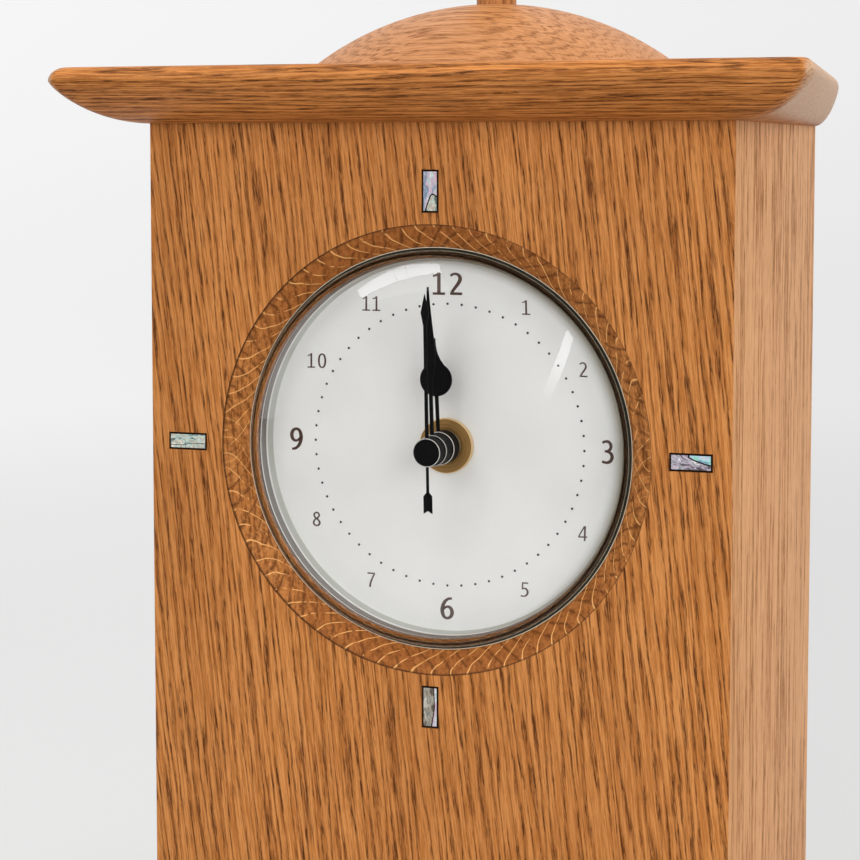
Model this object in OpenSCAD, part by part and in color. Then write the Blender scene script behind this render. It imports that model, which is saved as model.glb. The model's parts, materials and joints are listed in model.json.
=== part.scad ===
// Radio-controlled table clock in an oak case.
// The base's underside is at z = 0, the front faces -Y and +Z is up.

/* [Case] */
// Width of the body across the front
body_w = 150; // [130:1:190]
// Depth of the body from front to back
body_d = 106; // [92:1:150]
// Height of the body between the base and the top plate
body_h = 215; // [196:1:280]
// Thickness of the front and side boards
board_t = 16; // [14:0.5:20]
// Distance from the dial's centre up to the top plate
dial_drop = 80.2; // [78:0.5:95]
// Thickness of the base board
base_t = 15; // [10:0.5:22]
// How far the base board stands out at the front and sides
base_out = 9; // [4:0.5:20]

/* [Top] */
// Thickness of the top plate
plate_t = 13.8; // [10:0.2:20]
// How far the top plate stands out at the front
plate_front = 17; // [8:0.5:26]
// How far the top plate stands out at the sides, at the front corners
plate_side = 21; // [10:0.5:30]
// How far the top plate stands out at the sides, at the back corners
plate_back = 6.2; // [3:0.2:16]
// Radius of the dome at the plate
dome_r = 49.5; // [35:0.5:60]
// Height of the dome
dome_h = 17.6; // [10:0.2:28]
// Radius of the finial's neck
neck_r = 5.2; // [4.6:0.1:8]
// Radius of the finial's ball
ball_r = 11; // [8:0.5:16]

/* [Dial opening] */
// Width of the chamfer round the dial, seen from the front
chamfer_w = 5.6; // [3:0.1:8]
// Radius of the seat that the bezel sits in
seat_r = 49.9; // [49:0.1:52]
// Depth of the chamfer
chamfer_d = 4.3; // [2:0.1:6]
// Depth of the small step at the chamfer's rim
chamfer_step = 0.5; // [0.2:0.1:1.2]
// Length of a shell inlay
inlay_l = 10; // [7:0.2:14]
// Width of a shell inlay
inlay_w = 3.9; // [2.5:0.1:6]
// Distance from the dial's centre to an upright inlay
inlay_up = 63.5; // [62:0.5:66]
// Distance from the dial's centre to a lying inlay
inlay_side = 65; // [63:0.5:68]

/* [Dial and glass] */
// Depth of the dial's face behind the front board's face
dial_d = 13.7; // [12.6:0.1:14.2]
// Radius of the visible dial
dial_r = 47.2; // [44:0.1:47.4]
// Thickness of the dial plate
dial_t = 0.8; // [0.4:0.1:1]
// Thickness of the sheet that the pan is pressed from
pan_t = 0.8; // [0.5:0.1:0.9]
// Height of the domed glass over its rim, on the inside
glass_h = 11.8; // [11.4:0.2:16]
// Thickness of the glass
glass_t = 1.8; // [1:0.1:2.4]

/* [Hands] */
// Length of the second hand from its axis
second_l = 38.5; // [30:0.5:40]
// Length of the second hand's tail
second_tail = 15; // [8:0.5:20]
// Length of the minute hand
minute_l = 40; // [30:0.5:42]
// Length of the hour hand
hour_l = 27.2; // [24:0.2:32]
// Radius of the hour hand's disc
spade_r = 4.15; // [2:0.05:5]

/* [Movement] */
// Width of the movement's housing
mv_w = 58; // [58:1:70]
// Thickness of the movement's housing
mv_t = 18; // [18:0.5:24]
// Travel of a push button
button_travel = 0.8; // [0.4:0.1:0.8]

/* [Back door] */
// Thickness of the door
door_t = 8; // [6:0.5:12]
// Gap round the door
door_gap = 0.8; // [0.4:0.1:1.5]
// Radius of a hinge knuckle
knuckle_r = 1.8; // [1.5:0.1:2.5]
// Radius of a hinge pin
hinge_pin_r = 0.8; // [0.6:0.05:1]

/* [Hidden] */
$fn = 64;

front_oak = "#c4804c";
side_oak = "#cda07d";
dark_oak = "#a5683a";
steel = "#b9bcc0";
brass = "#b98a48";
black_metal = "#161618";
black_plastic = "#2c2d30";

// Clearances: between turning pieces, between pieces that are pushed together, in front of a stop
run_gap = 0.05;
fit_gap = 0.02;
stop_gap = 0.2;
over = 1;

// Heights and places of the case
dial_z = base_t + body_h - dial_drop;
plate_z = base_t + body_h;
front_y = -body_d / 2;
back_y = body_d / 2;
inner_w = body_w - 2 * board_t;
plate_round = 2.7;
plate_bow = 0.75;
base_round = 5;
dome_gap = [0.9, 0.5];

// Depths in the dial opening, counted into the clock from the front board's face
chamfer_r = seat_r + chamfer_w;
pan_r = seat_r - 0.4;
pan_inner = pan_r - 0.6;
pan_d = dial_d + dial_t;
pan_back = pan_d + pan_t;
glass_r = seat_r - 0.7;
glass_foot = [0.3, 0.5];
glass_d = chamfer_d + 1;
gasket_t = 0.3;
glass_bow = 2.3;

// Depths of the hands, from the hub's front to its back
second_hub = [-2.2, 1.6];
minute_hub = [1.9, 6.4];
hour_hub = [6.7, 11];
blade_t = 0.4;
second_hub_r = 3.5;
minute_hub_r = 3.85;
hour_hub_r = 4.15;
second_turn = 1;
minute_turn = 1.8;
hour_turn = 2.6;
spade_at = 17;
stem_w = 0.9;

// Arbors and pipes
arbor_r = 0.5;
minute_pipe_r = 1.6;
hour_pipe_r = 2.5;
bushing_r = 3.9;
bushing_d = 12;
nut_r = 6.9;
nut_t = 1.6;

// Depths in the movement
mv_d = max(board_t, pan_back) + 0.5;
mv_wall = 1.2;
mv_back = mv_d + mv_t;
cover_d = mv_back - mv_wall;
mv_inner = mv_d + mv_wall;
mv_top = 46;
mv_low = 28;
bay_top = -11;
bay_low = 1.2 - mv_low;
train_low = -9.6;
hour_layer = [mv_inner + 0.6, mv_inner + 1.4];
reduction_layer = [mv_inner + 1.8, mv_inner + 2.5];
plate_layer = [mv_inner + 2.8, mv_inner + 3.6];
centre_layer = [plate_layer[1] + 0.3, plate_layer[1] + 0.9];
third_layer = [centre_layer[1] + 1.2, centre_layer[1] + 1.8];
second_layer = [third_layer[1] + 0.6, third_layer[1] + 1.2];
fifth_layer = [second_layer[1] + 0.5, second_layer[1] + 1.1];
bridge_layer = [fifth_layer[1] + 0.7, fifth_layer[1] + 1.5];
board_layer = [bridge_layer[1] + 1, bridge_layer[1] + 1.8];
stator_layer = [centre_layer[1] + 0.3, centre_layer[1] + 1];

// Gear train: teeth and modules
second_n = 60;
second_pinion_n = 8;
third_n = 60;
third_pinion_n = 8;
centre_n = 64;
cannon_n = 12;
reduction_n = 36;
reduction_pinion_n = 10;
hour_n = 40;
fifth_n = 60;
fifth_pinion_n = 15;
rotor_n = 8;
centre_m = 0.25;
third_m = centre_m * (centre_n + third_pinion_n) / (third_n + second_pinion_n);
cannon_m = 0.35;
hour_m = cannon_m * (cannon_n + reduction_n) / (hour_n + reduction_pinion_n);
second_m = 0.25;
fifth_m = 0.2;
third_angle = 20;
reduction_angle = 160;
fifth_angle = 100;
third_at = polar(centre_m * (centre_n + third_pinion_n) / 2, third_angle);
reduction_at = polar(cannon_m * (cannon_n + reduction_n) / 2, reduction_angle);
fifth_at = polar(second_m * (second_n + fifth_pinion_n) / 2, fifth_angle);
rotor_at = fifth_at + polar(fifth_m * (fifth_n + rotor_n) / 2, fifth_angle);
post_at = [[-24, -6], [24, -6], [-24, 29], [24, 29]];
button_at = [[-13, 22], [13, 22]];
button_r = 2.5;
button_proud = 1.4;
magnet_r = 3;
pivot_r = 0.35;

// Battery: the size of an AA cell
cell_r = 7.15;
cell_l = 48.6;
nub_r = 2.7;
nub_l = 1.5;
cell_y = (bay_low + bay_top) / 2;
cell_d = mv_inner + 0.3 + cell_r;

// Antenna
rod_r = 4;
rod_l = 48;
rod_y = 38.6;
rod_d = mv_inner + 6.4;

// Hinges
hinge_l = 26;
hinge_leaf = 12;
leaf_t = 1;
hinge_at = [base_t + 40, base_t + body_h - 40];
hinge_x = -inner_w / 2 + door_gap / 2;
hinge_y = back_y + knuckle_r;
knob_at = [inner_w / 2 - 14, base_t + body_h / 2];
stop_w = 6;
hinge_screw_r = 1;
hinge_screw_l = 6;
third_l = hinge_l / 3;
knuckle_gap = 0.15;
catch_l = 30;
catch_w = 9;
catch_d = 11;
pole_l = 1;
pole_t = 1.6;
strike_t = 1;
knob_r = 5.4;
knob_l = 10.8;
knob_stud_r = 2;
knob_stud_l = 4.8;

// Inlays, dowels and screws of the case
inlay_t = 1.5;
dowel_r = 3;
dowel_l = 24;
dowel_y = [front_y + 30, back_y - 22];
dowel_sink = dowel_l * 0.7;
finial_hole = 4;
finial_dowel_l = dome_h + 20;
screw_r = 2;
screw_head_r = 4;
screw_l = 38;
clip_w = 8;
clip_t = 0.8;
clip_hold = 4.5;
clip_out = pan_r + 6;
clip_screw_at = pan_r + 3.2;

function polar(r, a) = [r * cos(a), r * sin(a)];

// The phase of gear b that puts one of its gaps on a tooth of gear a, where b lies at angle turn from a
function mesh(na, nb, phase, turn) = turn + 180 + 180 / nb - (phase - turn) * na / nb;

// Teeth with a narrow tip; a pinion has radial flanks
function teeth(n, m, phase, pinion) = let (
    pitch = 360 / n,
    r = n * m / 2,
    top = r + (pinion ? 0.55 : 0.9) * m,
    low = r - (pinion ? 1.25 : 0.95) * m,
    wide = pitch * (pinion ? 0.17 : 0.2),
    tip = pitch * (pinion ? 0.1 : 0.06),
    foot = pinion ? wide : pitch * 0.26
) [for (i = [0:n - 1]) each [
    polar(low, phase + i * pitch - foot), polar(r, phase + i * pitch - wide),
    polar(top, phase + i * pitch - tip), polar(top, phase + i * pitch + tip),
    polar(r, phase + i * pitch + wide), polar(low, phase + i * pitch + foot)
]];

second_phase = 0;
fifth_phase = mesh(second_n, fifth_pinion_n, second_phase, fifth_angle);
rotor_phase = mesh(fifth_n, rotor_n, fifth_phase, fifth_angle);
third_phase = mesh(second_pinion_n, third_n, second_phase, third_angle);
centre_phase = mesh(third_pinion_n, centre_n, third_phase, third_angle + 180);
reduction_phase = mesh(cannon_n, reduction_n, centre_phase, reduction_angle);
hour_phase = mesh(reduction_pinion_n, hour_n, reduction_phase, reduction_angle + 180);

// Everything on the dial is drawn facing +Z, with z = 0 on the front board's face
module at_dial() {
    translate([0, front_y, dial_z]) rotate([90, 0, 0]) children();
}

module disc(r, depths) {
    translate([0, 0, -depths[1]]) cylinder(h = depths[1] - depths[0], r = r);
}

module ring(r_out, r_in, depths) {
    difference() {
        disc(r_out, depths);
        disc(r_in, [depths[0] - over, depths[1] + over]);
    }
}

module block(x, y, depths) {
    translate([x[0], y[0], -depths[1]]) cube([x[1] - x[0], y[1] - y[0], depths[1] - depths[0]]);
}

module gear(n, m, depths, phase, pinion = false) {
    translate([0, 0, -depths[1]]) linear_extrude(depths[1] - depths[0])
        polygon(teeth(n, m, phase, pinion));
}

module rounded(x, y, r) {
    translate([x[0] + r, y[0]]) square([x[1] - x[0] - 2 * r, y[1] - y[0]]);
    translate([x[0], y[0] + r]) square([x[1] - x[0], y[1] - y[0] - 2 * r]);
    for (cx = [x[0] + r, x[1] - r], cy = [y[0] + r, y[1] - r]) translate([cx, cy]) circle(r, $fn = 32);
}

module panel(x, y, r, depths) {
    translate([0, 0, -depths[1]]) linear_extrude(depths[1] - depths[0]) rounded(x, y, r);
}

// One thin slice of a board that stands out at the front and sides and is flush at the back
module slice(front, side, back, z) {
    translate([0, 0, z]) linear_extrude(0.01) polygon([
        [-body_w / 2 - side, front_y - front], [body_w / 2 + side, front_y - front],
        [body_w / 2 + back, back_y], [-body_w / 2 - back, back_y]
    ]);
}

module board(points) {
    linear_extrude(body_h) polygon(points);
}

module front_board() {
    color(front_oak) difference() {
        translate([0, 0, base_t]) board([
            [-body_w / 2, front_y], [body_w / 2, front_y],
            [inner_w / 2, front_y + board_t], [-inner_w / 2, front_y + board_t]
        ]);
        at_dial() rotate_extrude($fn = 128) polygon([
            [0, over], [chamfer_r, over], [chamfer_r, -chamfer_step], [seat_r, -chamfer_d],
            [seat_r, -board_t - over], [0, -board_t - over]
        ]);
        for (turn = [0:90:270]) inlay_pocket(turn);
    }
}

module inlay_shape(turn, grow) {
    reach = turn % 180 == 0 ? inlay_up : inlay_side;
    rotate([0, 0, -turn]) translate([0, reach, 0]) square([inlay_w + 2 * grow, inlay_l + 2 * grow], center = true);
}

module inlay_pocket(turn) {
    at_dial() translate([0, 0, -inlay_t]) linear_extrude(inlay_t + over) inlay_shape(turn, fit_gap);
}

module inlay(turn) {
    color("#cfcad6") at_dial() translate([0, 0, -inlay_t]) linear_extrude(inlay_t) inlay_shape(turn, 0);
}

module side_board(side) {
    x = side * body_w / 2;
    inner = side * inner_w / 2;
    color(side_oak) difference() {
        translate([0, 0, base_t])
            board([[x, front_y], [x, back_y], [inner, back_y], [inner, front_y + board_t]]);
        dowel_holes();
        screw_holes();
        hinge_screw_places(-1) hinge_screw_hole();
    }
}

module dowel_places() {
    for (x = [-1, 1], y = dowel_y)
        translate([x * (body_w - board_t) / 2, y, plate_z]) children();
}

module dowel_holes() {
    dowel_places() translate([0, 0, -dowel_sink]) cylinder(h = dowel_l + 0.5, r = dowel_r + fit_gap, $fn = 32);
}

module finial_dowel(grow = 0) {
    translate([0, 0, plate_z + plate_t - 8]) cylinder(h = finial_dowel_l + grow, r = finial_hole + grow, $fn = 32);
}

module joint_dowels() {
    color("#d8b487") {
        dowel_places() translate([0, 0, 0.25 - dowel_sink]) cylinder(h = dowel_l, r = dowel_r, $fn = 32);
        finial_dowel();
    }
}

module screw_places() {
    for (x = [-1, 1], y = dowel_y) translate([x * (body_w - board_t) / 2, y, 0]) children();
}

module wood_screw(grow) {
    translate([0, 0, 3]) cylinder(h = screw_l + grow, r = screw_r + grow, $fn = 32);
    translate([0, 0, 1]) cylinder(h = 3, r1 = screw_head_r + grow, r2 = screw_r + grow, $fn = 32);
}

module screw_holes() {
    screw_places() {
        wood_screw(fit_gap);
        translate([0, 0, -over]) cylinder(h = 1 + over, r = screw_head_r + fit_gap, $fn = 32);
    }
}

module base_screws() {
    color(steel) screw_places() difference() {
        wood_screw(0);
        for (turn = [0, 90]) rotate([0, 0, turn]) translate([-2.4, -0.4, 0]) cube([4.8, 0.8, 2.2]);
    }
}

module base_board() {
    color(dark_oak) difference() {
        hull() {
            slice(base_out, base_out, base_out, 0);
            for (a = [0:15:90]) slice(
                base_out - base_round * (1 - cos(a)), base_out - base_round * (1 - cos(a)),
                base_out - base_round * (1 - cos(a)), base_t - 0.01 - base_round * (1 - sin(a)));
        }
        screw_holes();
    }
}

module top_plate() {
    span = plate_t - plate_round;
    color(dark_oak) difference() {
        translate([0, 0, plate_z]) hull() {
            for (a = [0:18:90]) slice(
                plate_front - plate_round * (1 - sin(a)), plate_side - plate_round * (1 - sin(a)),
                plate_back - plate_round * (1 - sin(a)), plate_t - 0.01 - plate_round * (1 - cos(a)));
            for (s = [0.1:0.1:1]) let (out = 1 - pow(s, 1 / plate_bow)) slice(
                plate_front * out, plate_side * out, plate_back * out, (1 - sin(90 * s)) * span);
        }
        dowel_holes();
        finial_dowel(fit_gap);
    }
}

// A turned dome, its rim raised a little off the plate
module dome() {
    ball = (dome_r * dome_r + dome_h * dome_h) / (2 * dome_h);
    top = plate_z + plate_t;
    color(front_oak) difference() {
        translate([0, 0, top]) rotate_extrude($fn = 128) polygon(concat(
            [[0, 0], [dome_r - dome_gap[0], 0], [dome_r - dome_gap[0], dome_gap[1]]],
            [for (i = [0:24]) let (a = asin((dome_r - 0.1) / ball) * (1 - i / 24))
                [ball * sin(a), max(dome_gap[1], ball * cos(a) - ball + dome_h)]]
        ));
        finial_dowel(fit_gap);
    }
}

// The neck runs into the ball in one turned profile
module finial() {
    top = plate_z + plate_t + dome_h;
    neck_h = 9;
    rise = sqrt(ball_r * ball_r - neck_r * neck_r);
    start = asin(neck_r / ball_r);
    color(front_oak) difference() {
        translate([0, 0, top]) rotate_extrude() polygon(concat(
            [[0, 0], [neck_r, 0], [neck_r, neck_h]],
            [for (i = [1:24]) let (a = start + (180 - start) * i / 24)
                [ball_r * sin(a), neck_h + rise - ball_r * cos(a)]]
        ));
        finial_dowel(fit_gap);
    }
}

module back_door() {
    color(side_oak) difference() {
        translate([-inner_w / 2 + door_gap, back_y - door_t, base_t + door_gap])
            cube([inner_w - 2 * door_gap, door_t, body_h - 2 * door_gap]);
        translate([knob_at[0], back_y - 5, knob_at[1]]) rotate([-90, 0, 0]) cylinder(h = 6, r = 2 + fit_gap, $fn = 32);
        translate([0, back_y - door_t, 0]) strike_shape(fit_gap);
        hinge_screw_places(1) hinge_screw_hole();
    }
}

// The knob's outline as shares of its radius and its height
knob_outline = [
    [0, 0], [0.74, 0], [0.74, 0.07], [0.44, 0.17], [0.41, 0.37], [0.63, 0.5], [0.93, 0.61], [1, 0.74],
    [0.91, 0.87], [0.63, 0.96], [0, 1]
];

module door_knob() {
    color(brass) translate([knob_at[0], back_y, knob_at[1]]) rotate([-90, 0, 0]) {
        translate([0, 0, -knob_stud_l]) cylinder(h = knob_stud_l + 0.2, r = knob_stud_r, $fn = 32);
        rotate_extrude($fn = 48) polygon([for (p = knob_outline) [p[0] * knob_r, p[1] * knob_l]]);
    }
}

// Strips that the closed door rests against
module door_stops() {
    color(side_oak) for (side = [-1, 1])
        translate([side > 0 ? inner_w / 2 - stop_w : -inner_w / 2, back_y - door_t - stop_gap - stop_w, base_t])
            cube([stop_w, stop_w, body_h]);
}

module magnet_catch() {
    x = inner_w / 2 - stop_w;
    y = back_y - door_t - stop_gap;
    color("#e8e4da") translate([x - catch_w, y - pole_l - catch_d, knob_at[1] - catch_l / 2])
        cube([catch_w, catch_d, catch_l]);
    color(steel) for (share = [0.18, 0.64])
        translate([x - catch_w * (1 - share), y - pole_l, knob_at[1] - catch_l / 2 + 4]) cube([pole_t, pole_l, catch_l - 8]);
}

module strike_shape(grow) {
    x = inner_w / 2 - stop_w;
    translate([x - catch_w - grow, -grow, knob_at[1] - catch_l / 2 + 2 - grow])
        cube([catch_w + 2 * grow, strike_t + 2 * grow, catch_l - 4 + 2 * grow]);
}

module strike_plate() {
    color(steel) translate([0, back_y - door_t, 0]) strike_shape(0);
}

// Screw places on one leaf of each hinge: side is 1 on the door and -1 on the case
module hinge_screw_places(side) {
    for (z = hinge_at, dz = [-8, 8])
        translate([hinge_x + side * (knuckle_r + 5.4), back_y, z + dz]) rotate([90, 0, 0]) children();
}

module knuckle(z0, z1, side) {
    difference() {
        union() {
            translate([hinge_x, hinge_y, z0]) cylinder(h = z1 - z0, r = knuckle_r, $fn = 32);
            translate([side > 0 ? hinge_x : hinge_x - knuckle_r - 1, back_y, z0])
                cube([knuckle_r + 1, leaf_t, z1 - z0]);
        }
        translate([hinge_x, hinge_y, z0 - over]) cylinder(h = z1 - z0 + 2 * over, r = hinge_pin_r + run_gap, $fn = 32);
    }
}

module leaf(z, side) {
    x = side > 0 ? hinge_x + knuckle_r + 0.4 : hinge_x - knuckle_r - 0.4 - hinge_leaf;
    difference() {
        translate([x, back_y, z - hinge_l / 2]) cube([hinge_leaf, leaf_t, hinge_l]);
        hinge_screw_places(side) translate([0, 0, -leaf_t - over])
            cylinder(h = leaf_t + 2 * over, r = 1.1, $fn = 32);
    }
}

module hinge_case_leaves() {
    color(brass) for (z = hinge_at) {
        leaf(z, -1);
        knuckle(z - hinge_l / 2, z - third_l / 2 - knuckle_gap, -1);
        knuckle(z + third_l / 2 + knuckle_gap, z + hinge_l / 2, -1);
    }
}

module hinge_door_leaves() {
    color(brass) for (z = hinge_at) {
        leaf(z, 1);
        knuckle(z - third_l / 2, z + third_l / 2, 1);
    }
}

module hinge_pins() {
    color(brass) for (z = hinge_at) translate([hinge_x, hinge_y, z - hinge_l / 2 - 0.6]) {
        cylinder(h = hinge_l + 1.2, r = hinge_pin_r, $fn = 32);
        for (dz = [-0.8, hinge_l + 1.2]) translate([0, 0, dz]) cylinder(h = 0.8, r = hinge_pin_r + 0.5, $fn = 32);
    }
}

module hinge_screw_hole() {
    cylinder(h = hinge_screw_l + 0.2, r = hinge_screw_r + fit_gap, $fn = 16);
}

module hinge_screw() {
    cylinder(h = hinge_screw_l, r = hinge_screw_r, $fn = 16);
    difference() {
        translate([0, 0, -leaf_t - 0.8]) cylinder(h = 0.8, r1 = 1.3, r2 = 2, $fn = 32);
        translate([-2.5, -0.25, -leaf_t - 0.9]) cube([5, 0.5, 0.5]);
    }
    translate([0, 0, -leaf_t]) cylinder(h = leaf_t, r = hinge_screw_r, $fn = 16);
}

module hinge_case_screws() {
    color(brass) hinge_screw_places(-1) hinge_screw();
}

module hinge_door_screws() {
    color(brass) hinge_screw_places(1) hinge_screw();
}

// Depth of the glass's inner or outer face at a radius; the curve is flatter in the middle than at the rim
function glass_at(r, rim, rise) = rise * pow(1 - pow(r / rim, glass_bow), 1 / glass_bow);

// A foot runs round the rim, and the bezel's lip holds it
module glass_dome() {
    steps = 20;
    inner = glass_r - glass_t;
    foot = glass_r + glass_foot[0];
    rise = glass_h + glass_t - glass_foot[1];
    color("#dfe8ea", 0.35) at_dial() translate([0, 0, -glass_d]) rotate_extrude($fn = 128) polygon(concat(
        [for (i = [0:steps]) let (r = inner * sin(90 * i / steps)) [r, glass_at(r, inner, glass_h)]],
        [[foot, 0], [foot, glass_foot[1]]],
        [for (i = [steps:-1:0]) let (r = glass_r * sin(90 * i / steps)) [r, glass_foot[1] + glass_at(r, glass_r, rise)]]
    ));
}

module glass_gasket() {
    color(black_plastic) at_dial() ring(pan_r, pan_inner, [glass_d, glass_d + gasket_t]);
}

// A rolled ring that grips the pan's wall and folds over the glass's foot
module bezel() {
    outer = seat_r - fit_gap;
    lip = glass_d - glass_foot[1] - fit_gap;
    front = lip - 0.5;
    color(steel) at_dial() rotate_extrude($fn = 128) polygon([
        [outer, -glass_d - 3], [outer, -front - 0.2], [outer - 0.2, -front], [glass_r + 0.15, -front],
        [glass_r + 0.02, -front - 0.13], [glass_r + 0.02, -lip], [pan_r + fit_gap, -lip], [pan_r + fit_gap, -glass_d - 3]
    ]);
}

// The stepped ring between the glass and the dial
module reflector_ring() {
    outer = pan_inner - fit_gap;
    top = glass_d + 2.1;
    color("#8c8d88") at_dial() rotate_extrude($fn = 128) polygon([
        [outer, -top], [dial_r + 1.35, -top], [dial_r + 1.2, -top - 0.15], [dial_r + 1.1, -dial_d + 2.6],
        [dial_r + 0.9, -dial_d + 2.4], [dial_r, -dial_d + 0.3], [dial_r, -dial_d], [outer, -dial_d]
    ]);
}

module dial_plate() {
    color("#f1f2ef") at_dial() ring(pan_inner - fit_gap, bushing_r + 0.1, [dial_d, pan_d]);
}

// A pressed cup that carries the dial, with the movement behind its floor
module dial_pan() {
    color(steel) at_dial() rotate_extrude($fn = 128) polygon([
        [bushing_r + 0.1, -pan_back], [pan_r - 0.4, -pan_back], [pan_r, -pan_back + 0.4], [pan_r, -glass_d - gasket_t],
        [pan_inner, -glass_d - gasket_t], [pan_inner, -pan_d], [bushing_r + 0.1, -pan_d]
    ]);
}

module clip_places() {
    for (turn = [0, 180, 270]) rotate([0, 0, turn]) children();
}

// Stepped strips, screwed to the board, that reach over the pan's floor
// Bent clips that hold the pan's back against the front board
module pan_clips() {
    step = [min(board_t, pan_back), max(board_t, pan_back) + clip_t];
    heel = [pan_r - 0.5 - clip_t, pan_r - 0.5];
    width = [-clip_w / 2, clip_w / 2];
    color(steel) at_dial() clip_places() difference() {
        union() {
            block([heel[0], clip_out], width, [board_t, board_t + clip_t]);
            block(heel, width, step);
            block([heel[1] - clip_hold, heel[1]], width, [pan_back, pan_back + clip_t]);
        }
        translate([clip_screw_at, 0, 0]) disc(1.2, [board_t - over, board_t + clip_t + over]);
    }
}

module clip_screws() {
    head = [board_t + clip_t, board_t + clip_t + 1.4];
    color(steel) at_dial() clip_places() translate([clip_screw_at, 0, 0]) {
        difference() {
            disc(2.2, head);
            block([-3, 3], [-0.3, 0.3], [head[1] - 0.6, head[1] + over]);
        }
        disc(1, [board_t + 0.1, head[0]]);
    }
}

module dial_nut() {
    color(brass) at_dial() difference() {
        translate([0, 0, -dial_d]) rotate_extrude() polygon([
            [bushing_r + fit_gap, 0], [nut_r, 0], [nut_r, nut_t - 0.3], [nut_r - 0.3, nut_t], [bushing_r + 0.4, nut_t],
            [bushing_r + fit_gap, nut_t - 0.3]
        ]);
        for (turn = [0, 180]) rotate([0, 0, turn]) block([nut_r - 1, nut_r + 1], [-0.5, 0.5], [dial_d - 3, dial_d - nut_t + 0.6]);
    }
}

module rubber_washer() {
    color("#242424") at_dial() ring(10, bushing_r + 0.1, [pan_back, mv_d]);
}

module threaded_bushing() {
    color(brass) at_dial() difference() {
        union() {
            disc(bushing_r, [bushing_d, mv_inner - 0.1]);
            disc(bushing_r + 1.4, [mv_inner - 0.7, mv_inner]);
        }
        disc(hour_pipe_r + run_gap, [bushing_d - over, mv_inner + over]);
    }
}

module movement_case() {
    x = mv_w / 2;
    color(black_plastic) at_dial() {
        difference() {
            panel([-x, x], [-mv_low, mv_top], 3, [mv_d, cover_d]);
            block([-x + mv_wall, x - mv_wall], [train_low, mv_top - mv_wall], [mv_inner, cover_d + over]);
            block([-cell_l / 2 - 2.3, cell_l / 2 + 2.3], [bay_low, bay_top], [mv_inner, cover_d + over]);
            disc(bushing_r + fit_gap, [mv_d - over, mv_inner + over]);
            disc(bushing_r + 1.4 + fit_gap, [mv_inner - 0.7, mv_inner + over]);
        }
        for (p = post_at) translate(p) difference() {
            union() {
                disc(3, [mv_inner - 0.1, plate_layer[0]]);
                disc(2.4, [mv_inner - 0.1, bridge_layer[0]]);
                disc(1.8, [mv_inner - 0.1, board_layer[0]]);
            }
            disc(0.9, [board_layer[0] - 6, board_layer[0] + over]);
        }
        for (side = [-1, 1]) difference() {
            block([side * 20 - 1, side * 20 + 1], [rod_y - 5, rod_y + 5], [mv_inner - 0.1, rod_d - 1]);
            antenna_cylinder(rod_r + fit_gap, rod_l + 2);
        }
    }
}

module antenna_cylinder(r, l) {
    translate([-l / 2, rod_y, -rod_d]) rotate([0, 90, 0]) cylinder(h = l, r = r, $fn = 48);
}

module antenna_rod() {
    color("#2b2b2d") at_dial() antenna_cylinder(rod_r, rod_l);
}

module antenna_coil() {
    color("#a8552e") at_dial() difference() {
        antenna_cylinder(rod_r + 1.4, 24);
        antenna_cylinder(rod_r + fit_gap, 26);
    }
}

module train_outline(depths) {
    panel([-mv_w / 2 + mv_wall + 0.4, mv_w / 2 - mv_wall - 0.4], [train_low + 0.4, 32], 1, depths);
}

module train_plate() {
    color(steel) at_dial() {
        difference() {
            train_outline(plate_layer);
            disc(minute_pipe_r + run_gap, [plate_layer[0] - over, plate_layer[1] + over]);
            for (p = [third_at, fifth_at, rotor_at])
                translate(p) disc(pivot_r + run_gap, [plate_layer[0] - over, plate_layer[1] + over]);
            for (p = post_at) translate(p) disc(2.4 + fit_gap, [plate_layer[0] - over, plate_layer[1] + over]);
        }
        translate(reduction_at) disc(0.6, [hour_layer[0] - 0.1, plate_layer[0] + 0.1]);
    }
}

module train_bridge() {
    color(steel) at_dial() difference() {
        train_outline(bridge_layer);
        disc(arbor_r + run_gap, [bridge_layer[0] - over, bridge_layer[1] + over]);
        for (p = [third_at, fifth_at, rotor_at])
            translate(p) disc(pivot_r + run_gap, [bridge_layer[0] - over, bridge_layer[1] + over]);
        for (p = post_at) translate(p) disc(1.8 + fit_gap, [bridge_layer[0] - over, bridge_layer[1] + over]);
    }
}

// A pivoted arbor between the train plate and the bridge
module arbor(r) {
    disc(r, [plate_layer[1] + 0.1, bridge_layer[0] - 0.1]);
    disc(pivot_r, [plate_layer[0] + 0.1, bridge_layer[1] - 0.1]);
}

module second_wheel() {
    color(brass) at_dial() {
        disc(arbor_r, [second_hub[0] + 1, bridge_layer[1] - 0.1]);
        gear(second_pinion_n, third_m, [centre_layer[1] + 0.5, third_layer[1] + 0.3], second_phase, true);
        gear(second_n, second_m, second_layer, second_phase);
    }
}

module third_wheel() {
    color(brass) at_dial() translate(third_at) {
        arbor(0.4);
        gear(third_pinion_n, centre_m, [centre_layer[0] - 0.1, third_layer[0]], third_phase, true);
        gear(third_n, third_m, third_layer, third_phase);
    }
}

module centre_wheel() {
    color(brass) at_dial() difference() {
        union() {
            disc(minute_pipe_r, [minute_hub[0] + 0.6, centre_layer[1] + 0.2]);
            gear(cannon_n, cannon_m, [reduction_layer[0] - 0.2, reduction_layer[1] + 0.1], centre_phase, true);
            gear(centre_n, centre_m, centre_layer, centre_phase);
        }
        disc(arbor_r + run_gap, [minute_hub[0] - over, centre_layer[1] + over]);
    }
}

module minute_wheel() {
    color(brass) at_dial() translate(reduction_at) difference() {
        union() {
            gear(reduction_n, cannon_m, reduction_layer, reduction_phase);
            gear(reduction_pinion_n, hour_m, [hour_layer[0], reduction_layer[0]], reduction_phase, true);
        }
        disc(0.6 + run_gap, [hour_layer[0] - over, reduction_layer[1] + over]);
    }
}

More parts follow.
